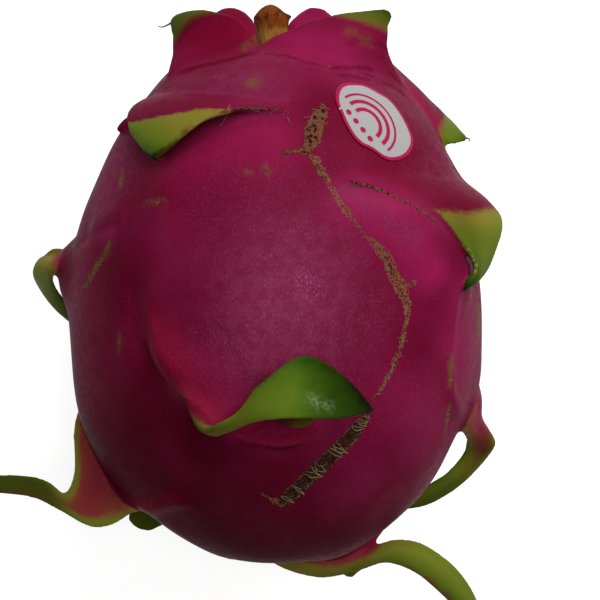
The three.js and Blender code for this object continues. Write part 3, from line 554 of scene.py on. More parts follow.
def plain_skin(directions):
    """The skin without its folds, in a direction of the unit sphere."""
    points = egg_points(directions)
    turn = np.arctan2(directions[..., 0], directions[..., 2])
    ribs = RIBS["height"] * np.cos(RIBS["count"] * turn + RIBS["turn"]) * (1 - directions[..., 1] ** 2)
    broad = sum(height * bell(length(points - place)[..., 0], reach) for place, height, reach in BULGES)
    points = points + outward(points) * (ribs + broad + swell_height(points))[..., None]
    from_core = np.hypot(points[..., 0], points[..., 2] - CORE_HEIGHT)
    stem = STEM_HOLLOW["depth"] * bell(from_core, STEM_HOLLOW["radius"])
    navel = FLOWER_NAVEL["depth"] * bell(from_core, FLOWER_NAVEL["radius"])
    points[..., 1] -= np.where(directions[..., 1] > 0, stem, -navel)
    return points


def skin_above(places):
    """The skin's points that lie at these (x, y), seen from above."""
    places = np.array(places, float)
    low = np.full(len(places), CORE_HEIGHT)
    high = low + 2 * HALF_DEPTH
    for _ in range(HALVINGS):
        middle = (low + high) / 2
        above = height_over_skin(np.column_stack([places, middle])) > 0
        high = np.where(above, middle, high)
        low = np.where(above, low, middle)
    return np.column_stack([places, low])


def path_on_skin(places, spacing=SKIN_STEP):
    """A smooth path over the upper skin through these places, and each point's third value if it has one."""
    places = np.array(places, float)
    run = length(np.diff(places[:, :2], axis=0)).sum()
    line = smooth_line(places, np.linspace(0, 1, max(4, int(run / spacing))))
    return skin_above(line[:, :2]), line[:, 2:]


def nearest(points, targets):
    """For each point, how far the nearest target is and which one it is."""
    tree = KDTree(len(targets))
    for i, target in enumerate(targets):
        tree.insert(target, i)
    tree.balance()
    found = [tree.find(point)[1:] for point in points]
    return np.array([row[1] for row in found]), np.array([row[0] for row in found])


def end_fade(which, count, fading=CREASE_FADING):
    """1 along a path, falling to 0 over this share of it at both ends."""
    share = which / max(1, count - 1)
    return smooth(0.0, fading, share) * smooth(1.0, 1 - fading, share)


def lump_height(points):
    """Soft unevenness, the sum of a few long waves."""
    rng = np.random.default_rng(LUMPS["seed"])
    height = np.zeros(points.shape[:-1])
    for _ in range(LUMPS["count"]):
        way = unit(rng.normal(size=3))
        wave = rng.uniform(LUMPS["shortest"], LUMPS["longest"])
        height += np.sin(points @ way * 2 * math.pi / wave + rng.uniform(0, 2 * math.pi))
    return height * LUMPS["height"]


def fold_rise(points):
    """How far the folds and the scar's groove lift each point of the upper skin, in millimetres."""
    rise = np.zeros(len(points))
    upper = np.flatnonzero(points[:, 2] > CORE_HEIGHT)
    for width, height, places in FOLDS:
        path, _ = path_on_skin(places)
        far, which = nearest(points[upper], path)
        rise[upper] += height * bell(far, width) * end_fade(which, len(path), FOLD_FADING)
    band, half_width = path_on_skin(SCAR_BANDS[0])
    far, which = nearest(points[upper], band)
    rise[upper] -= SCAR_DEPTH * bell(far, half_width[which, 0])
    return rise


def folded_skin(directions):
    """The finished skin, with its folds, the scar's groove and its soft unevenness."""
    points = plain_skin(directions)
    rise = fold_rise(points) + lump_height(points)
    return points + outward(points) * rise[:, None]


# ---- meshes


def put_in_scene(name, content):
    """A new object that holds this mesh, light or camera."""
    thing = bpy.data.objects.new(name, content)
    bpy.context.scene.collection.objects.link(thing)
    return thing


def new_piece(name, points, faces, edges=()):
    """A mesh object from points in millimetres."""
    mesh = bpy.data.meshes.new(name)
    mesh.from_pydata((np.asarray(points) * MM).tolist(), list(edges), faces)
    mesh.validate()
    mesh.update()
    return put_in_scene(name, mesh)


def finished_piece(piece, material):
    """The piece in its material, with smooth shading."""
    piece.data.materials.append(material)
    piece.data.shade_smooth()
    return piece


def tube_grid(rows, sides):
    """The share along a tube and the turn round it of each point of its rings."""
    share = np.linspace(0, 1, rows)[:, None] * np.ones(sides)
    return share, np.linspace(0, 2 * math.pi, sides, endpoint=False)[None, :] * np.ones_like(share)


def round_core(radius, turn, along):
    """Points at this radius and turn round the core and this far along it."""
    return np.stack([radius * np.sin(turn), along, CORE_HEIGHT + radius * np.cos(turn)], axis=-1)


def tube_faces(rings, sides):
    """Quads of a tube of rings that each have this many points, and one face that closes each end."""
    faces = []
    for ring in range(rings - 1):
        for side in range(sides):
            a = ring * sides + side
            b = ring * sides + (side + 1) % sides
            faces.append((a, b, b + sides, a + sides))
    faces.append(tuple(reversed(range(sides))))
    faces.append(tuple((rings - 1) * sides + side for side in range(sides)))
    return faces


def body_shell():
    """The rind's body as a closed tube of rings round the core, from the flower end to the stem end."""
    tilt = np.linspace(-math.pi / 2 + POLE_GAP, math.pi / 2 - POLE_GAP, BODY_ROWS)[:, None]
    turn = np.linspace(0, 2 * math.pi, BODY_SIDES, endpoint=False)[None, :]
    ways = [np.cos(tilt) * np.sin(turn), np.sin(tilt) * np.ones_like(turn), np.cos(tilt) * np.cos(turn)]
    directions = np.stack(ways, axis=-1).reshape(-1, 3)
    return folded_skin(directions), tube_faces(BODY_ROWS, BODY_SIDES)


def height_over_skin(points):
    """How far each point lies outside the skin, and below 0 inside it."""
    skin = plain_skin(sphere_directions(points))
    return dot(points - skin, outward(skin))


def blade_sheet(scale, shares, sides):
    """The middle sheet of a scale at shares of its length and sides from -1 to 1, and its inward way."""
    left = smooth_line(scale["left"], shares)
    half = (smooth_line(scale["right"], shares) - left) / 2
    step = 0.01
    ahead = midrib(scale, np.minimum(1, shares + step)) - midrib(scale, np.maximum(0, shares - step))
    inward = unit(np.cross(ahead, half))
    sunk = scale["cup"] * length(half) * (1 - sides**2)[..., None]
    return left + half * (1 + sides)[..., None] + inward * sunk, inward, length(half)[..., 0]


def blade_shell(scale, seed):
    """One scale as a closed leaf, flat in section with round, slightly wavy margins."""
    rng = np.random.default_rng(seed)
    shares, turn = tube_grid(BLADE["stations"], BLADE["sides"])
    tip = np.sqrt(1 - smooth(BLADE["tip_from"], BLADE["tip_to"], shares) ** 2)
    side = np.sign(np.cos(turn))
    rounding = np.clip((np.abs(np.cos(turn)) - BLADE["flat"]) / (1 - BLADE["flat"]), 0, 1) * math.pi / 2
    across = smooth_line(scale["right"], shares) - smooth_line(scale["left"], shares)
    half_width = length(across)[..., 0] / 2
    thinning = 1 - BLADE["tip_thinness"] * shares
    margin = scale["thick"] * (1 - BLADE["margin_thinness"]) * thinning / 2 * tip
    wave = np.sin(2 * math.pi * MARGIN_WAVE["waves"] * shares + rng.uniform(0, 2 * math.pi) + side)
    wave *= smooth(MARGIN_WAVE["from"], MARGIN_WAVE["full_from"], shares)
    margin_shift = MARGIN_WAVE["height"] * wave * np.minimum(1.0, half_width / MARGIN_WAVE["full_width"])
    reach = np.maximum(half_width * tip - margin, 0.0)
    flat = np.clip(np.cos(turn) / BLADE["flat"], -1, 1) * reach / half_width
    sheet, inward, _ = blade_sheet(scale, shares, flat)
    aside = side * margin * np.sin(rounding) + margin_shift * np.abs(flat) ** 3
    sheet = sheet + unit(across) * aside[..., None]
    root = FILLET["thickness"] * bell(height_over_skin(sheet), FILLET["reach"])
    thick = scale["thick"] * thinning * (1 - BLADE["margin_thinness"] * flat**2) * tip + root
    points = sheet + inward * (np.sign(np.sin(turn)) * np.cos(rounding) * thick / 2)[..., None]
    return points.reshape(-1, 3), tube_faces(BLADE["stations"], BLADE["sides"])


def joined(shells):
    """The points and faces of several shells as one list each."""
    points = []
    faces = []
    for shell_points, shell_faces in shells:
        first = sum(len(rows) for rows in points)
        points.append(shell_points)
        faces += [tuple(first + corner for corner in face) for face in shell_faces]
    return np.vstack(points), faces


def settled(piece):
    """The piece with its modifiers made part of a plain mesh."""
    evaluated = piece.evaluated_get(bpy.context.evaluated_depsgraph_get())
    mesh = bpy.data.meshes.new_from_object(evaluated)
    piece.modifiers.clear()
    piece.data = mesh
    return piece


def mesh_points(mesh):
    flat = np.empty(len(mesh.vertices) * 3)
    mesh.vertices.foreach_get("co", flat)
    return flat.reshape(-1, 3) / MM


def place_points(mesh, points):
    mesh.vertices.foreach_set("co", (points * MM).ravel())
    mesh.update()


def softened(mesh, points, weight, rounds):
    """Points moved towards their neighbours' mean, as far as the weight of each says."""
    flat = np.empty(len(mesh.edges) * 2, dtype=np.int32)
    mesh.edges.foreach_get("vertices", flat)
    one, other = flat.reshape(-1, 2).T
    count = np.bincount(one, minlength=len(points)) + np.bincount(other, minlength=len(points))
    count = np.maximum(count, 1)
    for _ in range(rounds):
        mean = np.empty_like(points)
        for axis in range(3):
            total = np.bincount(one, points[other, axis], len(points))
            total += np.bincount(other, points[one, axis], len(points))
            mean[:, axis] = total / count
        points = points + (mean - points) * weight[:, None]
    return points


# ---- how each point lies to the scales

SAMPLE_STATIONS = 80
SAMPLE_SIDES = 25


def scale_samples():
    """Points all over the middle sheets, with each one's scale, share of the length, side and half width."""
    shares = np.repeat(np.linspace(0, 1, SAMPLE_STATIONS), SAMPLE_SIDES)
    sides = np.tile(np.linspace(-1, 1, SAMPLE_SIDES), SAMPLE_STATIONS)
    sheets = [blade_sheet(scale, shares, sides) for scale in ALL_SCALES]
    which = np.repeat(np.arange(len(ALL_SCALES)), len(shares))
    places, _, half_width = (np.concatenate(rows) for rows in zip(*sheets))
    return places, half_width, which, np.tile(shares, len(ALL_SCALES)), np.tile(sides, len(ALL_SCALES))


SAMPLES = scale_samples()


def blade_facts(points):
    """For each point: distance to the nearest sheet, its sample, and the sheet's half thickness there."""
    places, _, which, shares, sides = SAMPLES
    far, sample = nearest(points, places)
    thick = np.array([scale["thick"] for scale in ALL_SCALES])[which[sample]]
    thinning = 1 - BLADE["margin_thinness"] * sides[sample] ** 2
    thinning *= 1 - BLADE["tip_thinness"] * shares[sample]
    return far, sample, thick * thinning / 2


def rind_and_scales():
    """The body and its scales grown together into one skin."""
    shells = [body_shell()] + [blade_shell(scale, seed) for seed, scale in enumerate(ALL_SCALES)]
    piece = new_piece("rind_and_scales", *joined(shells))
    remesh = piece.modifiers.new("one_skin", "REMESH")
    remesh.mode = "VOXEL"
    remesh.voxel_size = VOXEL * MM
    remesh.use_smooth_shade = True
    settled(piece)
    points = mesh_points(piece.data)
    far, _, half_thick = blade_facts(points)
    above = np.abs(height_over_skin(points))
    seam = bell(np.maximum(above, np.abs(far - half_thick)), SEAMS["reach"])
    everywhere = np.full(len(points), SOFTENING["share"])
    points = softened(piece.data, points, everywhere, SOFTENING["rounds"])
    points = softened(piece.data, points, SEAMS["share"] * seam, SEAMS["rounds"])
    points[:, 2] = np.maximum(points[:, 2], 0.0)
    place_points(piece.data, points)
    thin_out = piece.modifiers.new("fewer_faces", "DECIMATE")
    thin_out.ratio = min(1.0, RIND_TRIANGLES / (2 * len(piece.data.polygons)))
    settled(piece)
    return piece


fruit = rind_and_scales()

# ---- what each point of the rind shows


def give(mesh, name, values):
    """Stores one number for each point of a mesh under a name that materials read."""
    attribute = mesh.attributes.new(name, "FLOAT", "POINT")
    attribute.data.foreach_set("value", np.ascontiguousarray(values, dtype=np.float32))


def surface_of(piece):
    return BVHTree.FromObject(piece, bpy.context.evaluated_depsgraph_get())


RIND_SURFACE = surface_of(fruit)
HIDDEN_UNDER = 2.5  # a leaf that stands higher than this over the skin hides a mark below it
FARTHEST = 3.0  # a point's place inside or outside a mark is told up to this far from its edge


def dropped(places, on_leaves=False):
    """Where each (x, y) meets the finished rind from straight above, and the rind's outward way there."""
    points = skin_above(places)
    ways = outward(points)
    for i, point in enumerate(points):
        sky = Vector((point[0] * MM, point[1] * MM, 2 * CAD_BOX[1][2]))
        hit, way, _, _ = RIND_SURFACE.ray_cast(sky, Vector((0, 0, -1)))
        if hit and (on_leaves or hit.z / MM < point[2] + HIDDEN_UNDER):
            points[i] = np.array(hit) / MM
            ways[i] = way
    return points, ways


def path_on_rind(places, spacing, on_leaves=False):
    """A smooth path dropped onto the finished rind: its points, their outward ways and its half widths."""
    line, widths = path_on_skin(places, spacing)
    points, ways = dropped(line[:, :2], on_leaves)
    return points, ways, widths[:, 0] if widths.shape[1] else None


def near_path(points, path, spacing, on_leaves=True):
    """For each point: how far a path is, how much of it is left by its fading ends, and its half width."""
    line, _, half_width = path_on_rind(path, spacing, on_leaves)
    far, which = nearest(points, line)
    return far, end_fade(which, len(line)), None if half_width is None else half_width[which]


def soothe(piece):
    """Evens out the creases where flesh should flow smoothly from the body into a scale."""
    points = mesh_points(piece.data)
    weight = np.zeros(len(points))
    for reach, path in SOFT_PLACES:
        far, _, _ = near_path(points, path, SKIN_STEP)
        weight = np.maximum(weight, SOOTHING["share"] * bell(far, reach) * (far < 2 * reach))
    place_points(piece.data, softened(piece.data, points, weight, SOOTHING["rounds"]))


soothe(fruit)
RIND_SURFACE = surface_of(fruit)


def inside_path(points, path, on_leaves):
    """How far in millimetres each point lies inside a path's edge, and below 0 outside it."""
    far, _, half_width = near_path(points, path, MARK_STEP, on_leaves)
    return np.clip(half_width - far, -FARTHEST, FARTHEST)


def crease_depth(points):
    """How deep each point lies in a fine crease, in millimetres."""
    depth = np.zeros(len(points))
    for width, deepest, path in CREASES:
        far, fade, _ = near_path(points, path, MARK_STEP)
        depth = np.maximum(depth, deepest * bell(far, width) * fade)
    return depth


def brushed(points, strokes):
    """How strongly soft brush strokes touch each point: a reach, an amount and a path of (x, y) each."""
    amount = np.zeros(len(points))
    for reach, most, path in strokes:
        far, _, _ = near_path(points, path, STROKE_STEP)
        amount = np.maximum(amount, most * bell(far, reach))
    return amount


YELLOWING = (0.4, 0.5)  # how green a scale has to be before its right side turns yellower
BORDER_FADE = (0.6, 0.97)  # where across a scale its leafy left margin starts and is full
PALE_FADE, RUSTY_FADE = 0.06, 0.12  # the share of a scale's length over which those margins come in
PALE_END = (0.92, 0.86)


def leaf_looks(which, share, side):
    """How green, how light (own tone with painted light and shade), how pale and how rusty the scales are at
    these samples, and which are clean.
    """
    green, tone, pale, rusty, clean = np.zeros((5, len(which)))
    for index, scale in enumerate(ALL_SCALES):
        mine = which == index
        along, aside = share[mine], side[mine]
        turned_green = along + scale["slant"] * aside + scale["rim"] * aside**2
        turned_green = np.interp(turned_green, *zip(*scale["green"]))
        turned_green -= scale["yellow_right"] * aside * smooth(*YELLOWING, turned_green)
        first, last, most = scale["border"]
        border = most * smooth(first, last, along) * smooth(*BORDER_FADE, -aside)
        green[mine] = np.maximum(turned_green, border)
        tone[mine] = np.interp(along, *zip(*scale["tone"])) * np.interp(aside, *zip(*scale["across"]))
        first = scale["pale_from"]
        pale[mine] = smooth(first, first + PALE_FADE, along) * smooth(*PALE_END, along) * (aside < 0)
        brown_side, first = scale["rusty"]
        rusty[mine] = smooth(first, first + RUSTY_FADE, along) * (aside * brown_side > 0)
        clean[mine] = scale["clean"]
    return green, tone, pale, rusty, clean


# Where skin gives way to a scale: by how far a point is off the blade and how far it is above the skin.
BLADE_EDGE, BLADE_RISE = (1.4, 0.5), (0.1, 1.3)
# Where a scale's cream and brown margins start and are full, in millimetres from its edge.
PALE_MARGIN, RUSTY_MARGIN = (0.7, 0.2), (2.2, 0.3)
# How green a scale is where its leaf starts to cover the rind and covers it, for clean and other scales, and
# the same for how far a point is on the blade.
CLEAN_COVER, USUAL_COVER, BLADE_COVER = (0, 0.5), (0.03, 0.22), (0.35, 0.7)
PAINTED_LIGHT_SPARED = 0.8  # the share of the painted shade by the flower end that painted light strokes keep away
LEAF_LACKS_WAX_AND_HIGHLIGHT = 0.7  # the share of the wax and the painted highlight and sheen that scales lack


def paint_rind(piece):
    """Stores for each point how leafy, worn, waxy and scarred it is, and where painted light, shade and
    highlights lie, for the rind's finish to read.
    """
    points = mesh_points(piece.data)
    _, half_widths, which, shares, sides = SAMPLES
    far, sample, half_thick = blade_facts(points)
    above = height_over_skin(points) - fold_rise(plain_skin(sphere_directions(points)))
    on_blade = smooth(*BLADE_EDGE, far - half_thick) * smooth(*BLADE_RISE, above)
    green, tone, pale, rusty, clean = leaf_looks(which[sample], shares[sample], sides[sample])
    to_margin = (1 - np.abs(sides[sample])) * half_widths[sample]
    cover = np.where(clean > 0, smooth(*CLEAN_COVER, green), smooth(*USUAL_COVER, green))
    shown = {
        "leafy": np.maximum(green, 0.5 * clean),
        "cover": cover * smooth(*BLADE_COVER, on_blade),
        "tone": tone,
        "pale": smooth(*PALE_MARGIN, to_margin) * on_blade * pale,
        "rusty": smooth(*RUSTY_MARGIN, to_margin) * on_blade * rusty,
    }
    for name, _, strokes in TINTS + WORN_TINTS:
        shown[name] = brushed(points, strokes)
    # painted shade towards the flower end, kept off the scales and out of painted light
    lower = smooth(FLOWER_END_SHADE["from"], FLOWER_END_SHADE["to"], points[:, 1] + FLOWER_END_SHADE["slant"] * points[:, 0])
    shaded_end = FLOWER_END_SHADE["most"] * lower * (1 - on_blade) * (1 - PAINTED_LIGHT_SPARED * shown["painted_light"])
    shown["shaded_end"] = shaded_end
    shown["streaky"] = (1 - on_blade) * (1 - shaded_end)
    shown["wax_and_highlight"] = brushed(points, WAX_AND_HIGHLIGHT_STROKES) * (1 - LEAF_LACKS_WAX_AND_HIGHLIGHT * on_blade)
    shown["glint"] = brushed(points, GLINT_STROKES)
    for name, paths in (("cork", CORK_PATCHES), ("net", SCAR_NETS), ("band", SCAR_BANDS), ("crumbs", CRESTS)):
        shown[name] = np.max([inside_path(points, path, name == "crumbs") for path in paths], axis=0)
    shown["crease"] = crease_depth(points)
    for name, values in shown.items():
        give(piece.data, name, values)


paint_rind(fruit)

# ---- node trees


class Value:
    """One output of a node, which sums can be made with."""

    def __init__(self, nodes, socket):
        self.nodes = nodes
        self.socket = socket

    def __add__(self, other):
        return self.nodes.maths("ADD", self, other)

    def __sub__(self, other):
        return self.nodes.maths("SUBTRACT", self, other)

    def __rsub__(self, other):
        return self.nodes.maths("SUBTRACT", other, self)

    def __mul__(self, other):
        return self.nodes.maths("MULTIPLY", self, other)


class Nodes:
    """A node tree that is being built, with short names for the nodes that both kinds of tree use."""

    def __init__(self, tree):
        self.tree = tree

    def fill(self, socket, value):
        if isinstance(value, Value):
            self.tree.links.new(value.socket, socket)
        else:
            socket.default_value = value

    def add(self, kind, inputs=None, output=0, **settings):
        """Adds a node with its settings and its inputs, and gives one of its outputs."""
        made = self.tree.nodes.new(kind)
        for name, value in settings.items():
            setattr(made, name, value)
        for name, value in (inputs or {}).items():
            self.fill(made.inputs[name], value)
        return Value(self, made.outputs[output])

    def maths(self, rule, a, b=0.0):
        return self.add("ShaderNodeMath", {0: a, 1: b}, operation=rule)

    def vectors(self, rule, a, b=(0, 0, 0)):
        return self.add("ShaderNodeVectorMath", {0: a, 1: b}, operation=rule)

    def scaled(self, vector, scale):
        return self.add("ShaderNodeVectorMath", {0: vector, "Scale": scale}, operation="SCALE")


class Finish(Nodes):
    """A material on one Principled shader."""

    def __init__(self, name, **sockets):
        self.material = bpy.data.materials.new(name)
        self.material.use_nodes = True
        super().__init__(self.material.node_tree)
        self.tree.nodes.clear()
        self.shader = self.tree.nodes.new("ShaderNodeBsdfPrincipled")
        output = self.tree.nodes.new("ShaderNodeOutputMaterial")
        self.tree.links.new(self.shader.outputs[0], output.inputs[0])
        for socket, value in sockets.items():
            self.feed(socket.replace("_", " "), value)
        self.place = self.add("ShaderNodeTexCoord", output="Object")

    def feed(self, socket, source):
        self.fill(self.shader.inputs[socket], source)

    def attribute(self, name):
        return self.add("ShaderNodeAttribute", output="Fac", attribute_name=name)

    def stretched(self, scale):
        return self.add("ShaderNodeMapping", {"Vector": self.place, "Scale": scale})

    def noise(self, scale, detail=2.0, source=None, roughness=0.5, output="Fac"):
        inputs = {"Vector": source or self.place, "Scale": scale, "Detail": detail, "Roughness": roughness}
        return self.add("ShaderNodeTexNoise", inputs, output)

    def cells(self, scale, source=None, feature="F1"):
        inputs = {"Vector": source or self.place, "Scale": scale}
        return self.add("ShaderNodeTexVoronoi", inputs, "Distance", feature=feature)

    def between(self, value, low, high, to_low=0.0, to_high=1.0):
        inputs = {"Value": value, 1: low, 2: high, 3: to_low, 4: to_high}
        return self.add("ShaderNodeMapRange", inputs, interpolation_type="SMOOTHSTEP")

    def patches(self, scale, detail, low, high, to_low=0.0, to_high=1.0):
        """Noise that climbs from one level to another between a low and a high value."""
        return self.between(self.noise(scale, detail), low, high, to_low, to_high)

    def most(self, first, *others):
        for other in others:
            first = self.maths("MAXIMUM", first, other)
        return first

    def colours(self, value, stops):
        made = self.tree.nodes.new("ShaderNodeValToRGB")
        self.fill(made.inputs[0], value)
        ramp = made.color_ramp
        while len(ramp.elements) < len(stops):
            ramp.elements.new(0.5)
        for element, (place, colour) in zip(ramp.elements, stops):
            element.position = place
            element.color = (*colour, 1)
        return Value(self, made.outputs[0])

    def mix(self, share, a, b):
        a, b = ((*colour, 1) if isinstance(colour, tuple) else colour for colour in (a, b))
        return self.add("ShaderNodeMix", {0: share, 6: a, 7: b}, 2, data_type="RGBA")

    def bump(self, height, distance, strength=1.0, under=None):
        inputs = {"Height": height, "Distance": distance, "Strength": strength}
        if under:
            inputs["Normal"] = under
        return self.add("ShaderNodeBump", inputs)


# ---- finishes

MAGENTA = (0.115, 0.003, 0.022)
DEEP_MAGENTA = (0.075, 0.001, 0.01)
MAUVE = (0.11, 0.01, 0.038)
# pale wax colour, also used for the painted highlight and sheen
WAX_AND_HIGHLIGHT_COLOUR = (0.142, 0.018, 0.05)
LILAC = (0.24, 0.075, 0.17)
LEAF_PAINTED_GLINT = (0.3, 0.4, 0.2)
RUSTY_EDGE = (0.1, 0.035, 0.01)
PALE_EDGE = (0.24, 0.17, 0.07)
SHADED_END = (0.035, 0.0006, 0.004)
CORK = (0.118, 0.048, 0.026)
CORK_SHADE = (0.075, 0.024, 0.012)
CORK_HOLE = (0.02, 0.004, 0.003)
BAND_DARK = (0.012, 0.003, 0.002)
BAND_BROWN = (0.024, 0.008, 0.005)
GOLD_LINE = (0.115, 0.07, 0.02)
LEAF_COLOURS = [
    (0.0, (0.115, 0.002, 0.022)), (0.2, (0.13, 0.004, 0.02)), (0.36, (0.135, 0.03, 0.016)),
    (0.5, (0.12, 0.095, 0.014)), (0.68, (0.088, 0.125, 0.009)), (0.84, (0.028, 0.065, 0.004)),
    (0.93, (0.01, 0.02, 0.002)), (1.0, (0.009, 0.007, 0.003)),
]
LIGHT_WOOD, PALE_WOOD = (0.13, 0.055, 0.01), (0.2, 0.095, 0.016)
DARK_RUST, PALE_RUST = (0.08, 0.016, 0.0015), (0.15, 0.036, 0.003)
BURNT_WOOD, KNOB_BROWN = (0.025, 0.006, 0.002), (0.02, 0.008, 0.003)
DARK_PETAL, PALE_PETAL = (0.03, 0.014, 0.006), (0.14, 0.08, 0.035)
FLOOR_SHADE, FLOOR_LIGHT = (0.32, 0.32, 0.32), (0.34, 0.34, 0.34)
PAPER_SHADE, PAPER_LIGHT, PINK_INK = (0.22, 0.215, 0.215), (0.24, 0.235, 0.235), (0.23, 0.002, 0.038)


def rind_finish():
    """Waxy magenta rind, leafy scales and corky scars, with painted light, shade and highlights, laid over
    each other as the points' numbers say.
    """
    finish = Finish("waxy_rind", Specular_IOR_Level=0.006)
    shows, noise, patches, between = finish.attribute, finish.noise, finish.patches, finish.between
    cover, crease, glint, band_depth = (shows(name) for name in ("cover", "crease", "glint", "band"))
    coat = finish.mix(patches(38, 2, 0.3, 0.7), DEEP_MAGENTA, MAGENTA)

    def lay(share, colour):
        nonlocal coat
        coat = finish.mix(share, coat, colour)

    lay(patches(230, 3, 0.5, 0.75, 0.0, 0.35), DEEP_MAGENTA)
    lay(patches(75, 3, 0.5, 0.85, 0.0, 0.5), MAUVE)
    # painted shade and painted light
    for name, colour, _ in TINTS:
        lay(shows(name), colour)
    # painted shade towards the flower end
    lay(shows("shaded_end"), SHADED_END)
    # pale wax bloom together with a painted highlight on top and painted sheen along the edges
    wax_and_highlight = shows("wax_and_highlight") * patches(420, 3, 0.3, 0.7, 0.6, 1.2)
    lay(wax_and_highlight * 0.75, WAX_AND_HIGHLIGHT_COLOUR)
    worn = patches(800, 3, 0.3, 0.6, 0.4, 1)
    for name, colour, _ in WORN_TINTS:
        lay(worn * shows(name), colour)
    # short pale streaks of wax that run along the core, thickest under the painted highlight and glint
    fleck = between(noise(1.0, 2, finish.stretched((4400, 1500, 4400)), 0.6), 0.53, 0.7)
    patchy = wax_and_highlight * 0.25 + patches(60, 2, 0.36, 0.62, 0.03, 0.12) + glint * 0.7
    lay(fleck * patchy * shows("streaky"), LILAC)
    # painted shade in the fine creases
    lay(between(crease, 0.1, 0.5, 0.0, 0.6), DEEP_MAGENTA)
    # rind to leaf
    rind = coat
    coat = finish.colours(shows("leafy") + noise(160, 3) * 0.12 - 0.06, LEAF_COLOURS)
    # the leaf's own lighter and darker green, together with painted light and shade along and across it
    coat = finish.scaled(coat, shows("tone"))
    # painted glint on the central leaf
    lay(glint * patches(1300, 3, 0.35, 0.7, 0.03, 0.45), LEAF_PAINTED_GLINT)
    lay(shows("rusty") * patches(420, 2, 0.3, 0.6), RUSTY_EDGE)
    coat = finish.mix(cover, rind, coat)
    lay(shows("pale") * patches(900, 3, 0.42, 0.55, 0.0, 0.8), PALE_EDGE)
    # corky scars with ragged edges and dark holes
    ragged = noise(750, 4, roughness=0.65) * 2.8 - 1.4
    cork = between(shows("cork") + ragged, 0.0, 0.2)
    wander = finish.vectors("ADD", finish.scaled(noise(900, output="Color"), 0.0012), finish.place)
    holes = between(finish.cells(900.0, wander), 0.48, 0.34) * between(shows("cork"), 0.1, 0.5)
    corky = finish.mix(patches(2500, 3, 0.35, 0.65), CORK, CORK_SHADE)
    lay(cork, finish.mix(holes, corky, CORK_HOLE))
    band = between(ragged * 0.6 + band_depth, 0.0, 0.3)
    grain = between(noise(1.0, 3, finish.stretched((1500, 500, 1500))), 0.4, 0.6)
    lay(band * 0.95, finish.mix(grain, BAND_DARK, BAND_BROWN))
    lace = between(finish.cells(1250.0, feature="DISTANCE_TO_EDGE"), 0.17, 0.06)
    net = between(ragged * 0.7 + finish.most(shows("net"), band_depth), -0.05, 0.25)
    net = net * between(band_depth, 0.2, 0.7, 1.0, 0.12) * patches(700, 2, 0.36, 0.54, 0.25, 1.0)
    lay(net * 0.35, CORK_SHADE)
    lay(net * lace, GOLD_LINE)
    crumbs = between(ragged * 0.4 + shows("crumbs"), 0.0, 0.15)
    lay(crumbs * 0.85, finish.mix(patches(1700, 2, 0.4, 0.6), CORK_HOLE, CORK))
    finish.feed("Base Color", coat)
    dry = finish.most(cork, band, crumbs)
    finish.feed("Roughness", patches(700, 2, 0.3, 0.7, 0.36, 0.5) - cover * 0.12 + dry * 0.35)
    soft = finish.bump(noise(110), 0.001, 0.25)
    folds = finish.bump(crease * -1.0, 0.001, 1.0, soft)
    pores = finish.bump(noise(2200), 0.0001, 0.4, folds)
    finish.feed("Normal", finish.bump(dry * noise(1500, 3), 0.0004, 1.0, pores))
    return finish.material


def fibre_finish(name, dark, light):
    finish = Finish(name, Roughness=0.7)
    finish.feed("Base Color", finish.mix(finish.noise(900), dark, light))
    finish.feed("Normal", finish.bump(finish.noise(6000), 0.00005))
    return finish.material


def stem_finish():
    """Dry tan wood that turns rusty brown towards the cut end, with fine grain along it."""
    finish = Finish("dry_stem", Roughness=0.75, Specular_IOR_Level=0.05)
    grain = finish.noise(1.0, 4, finish.stretched((2600, 380, 2600)))
    ragged = finish.attribute("cap") + (finish.noise(500, 3) * 0.5 - 0.25)
    tan = finish.mix(finish.between(grain, 0.25, 0.75), LIGHT_WOOD, PALE_WOOD)
    rust = finish.mix(finish.between(grain, 0.3, 0.7), DARK_RUST, PALE_RUST)
    rust = finish.mix(finish.patches(420, 2, 0.52, 0.66) * 0.8, rust, BURNT_WOOD)
    wood = finish.mix(finish.between(ragged, 0.3, 0.7), tan, rust)
    finish.feed("Base Color", finish.mix(finish.attribute("knob"), wood, KNOB_BROWN))
    finish.feed("Normal", finish.bump(grain, 0.0003, 0.8))
    return finish.material


def petal_finish():
    """Brown withered petals with fine grain along them."""
    finish = Finish("withered_petal", Roughness=0.85)
    grain = finish.noise(1.0, 3, finish.stretched((2200, 500, 2200)))
    finish.feed("Base Color", finish.mix(grain, DARK_PETAL, PALE_PETAL))
    finish.feed("Normal", finish.bump(grain, 0.0003))
    return finish.material


def floor_finish():
    finish = Finish("pale_lit_floor", Roughness=0.8, Emission_Strength=0.82)
    finish.feed("Base Color", finish.mix(finish.noise(6), FLOOR_SHADE, FLOOR_LIGHT))
    return finish.material


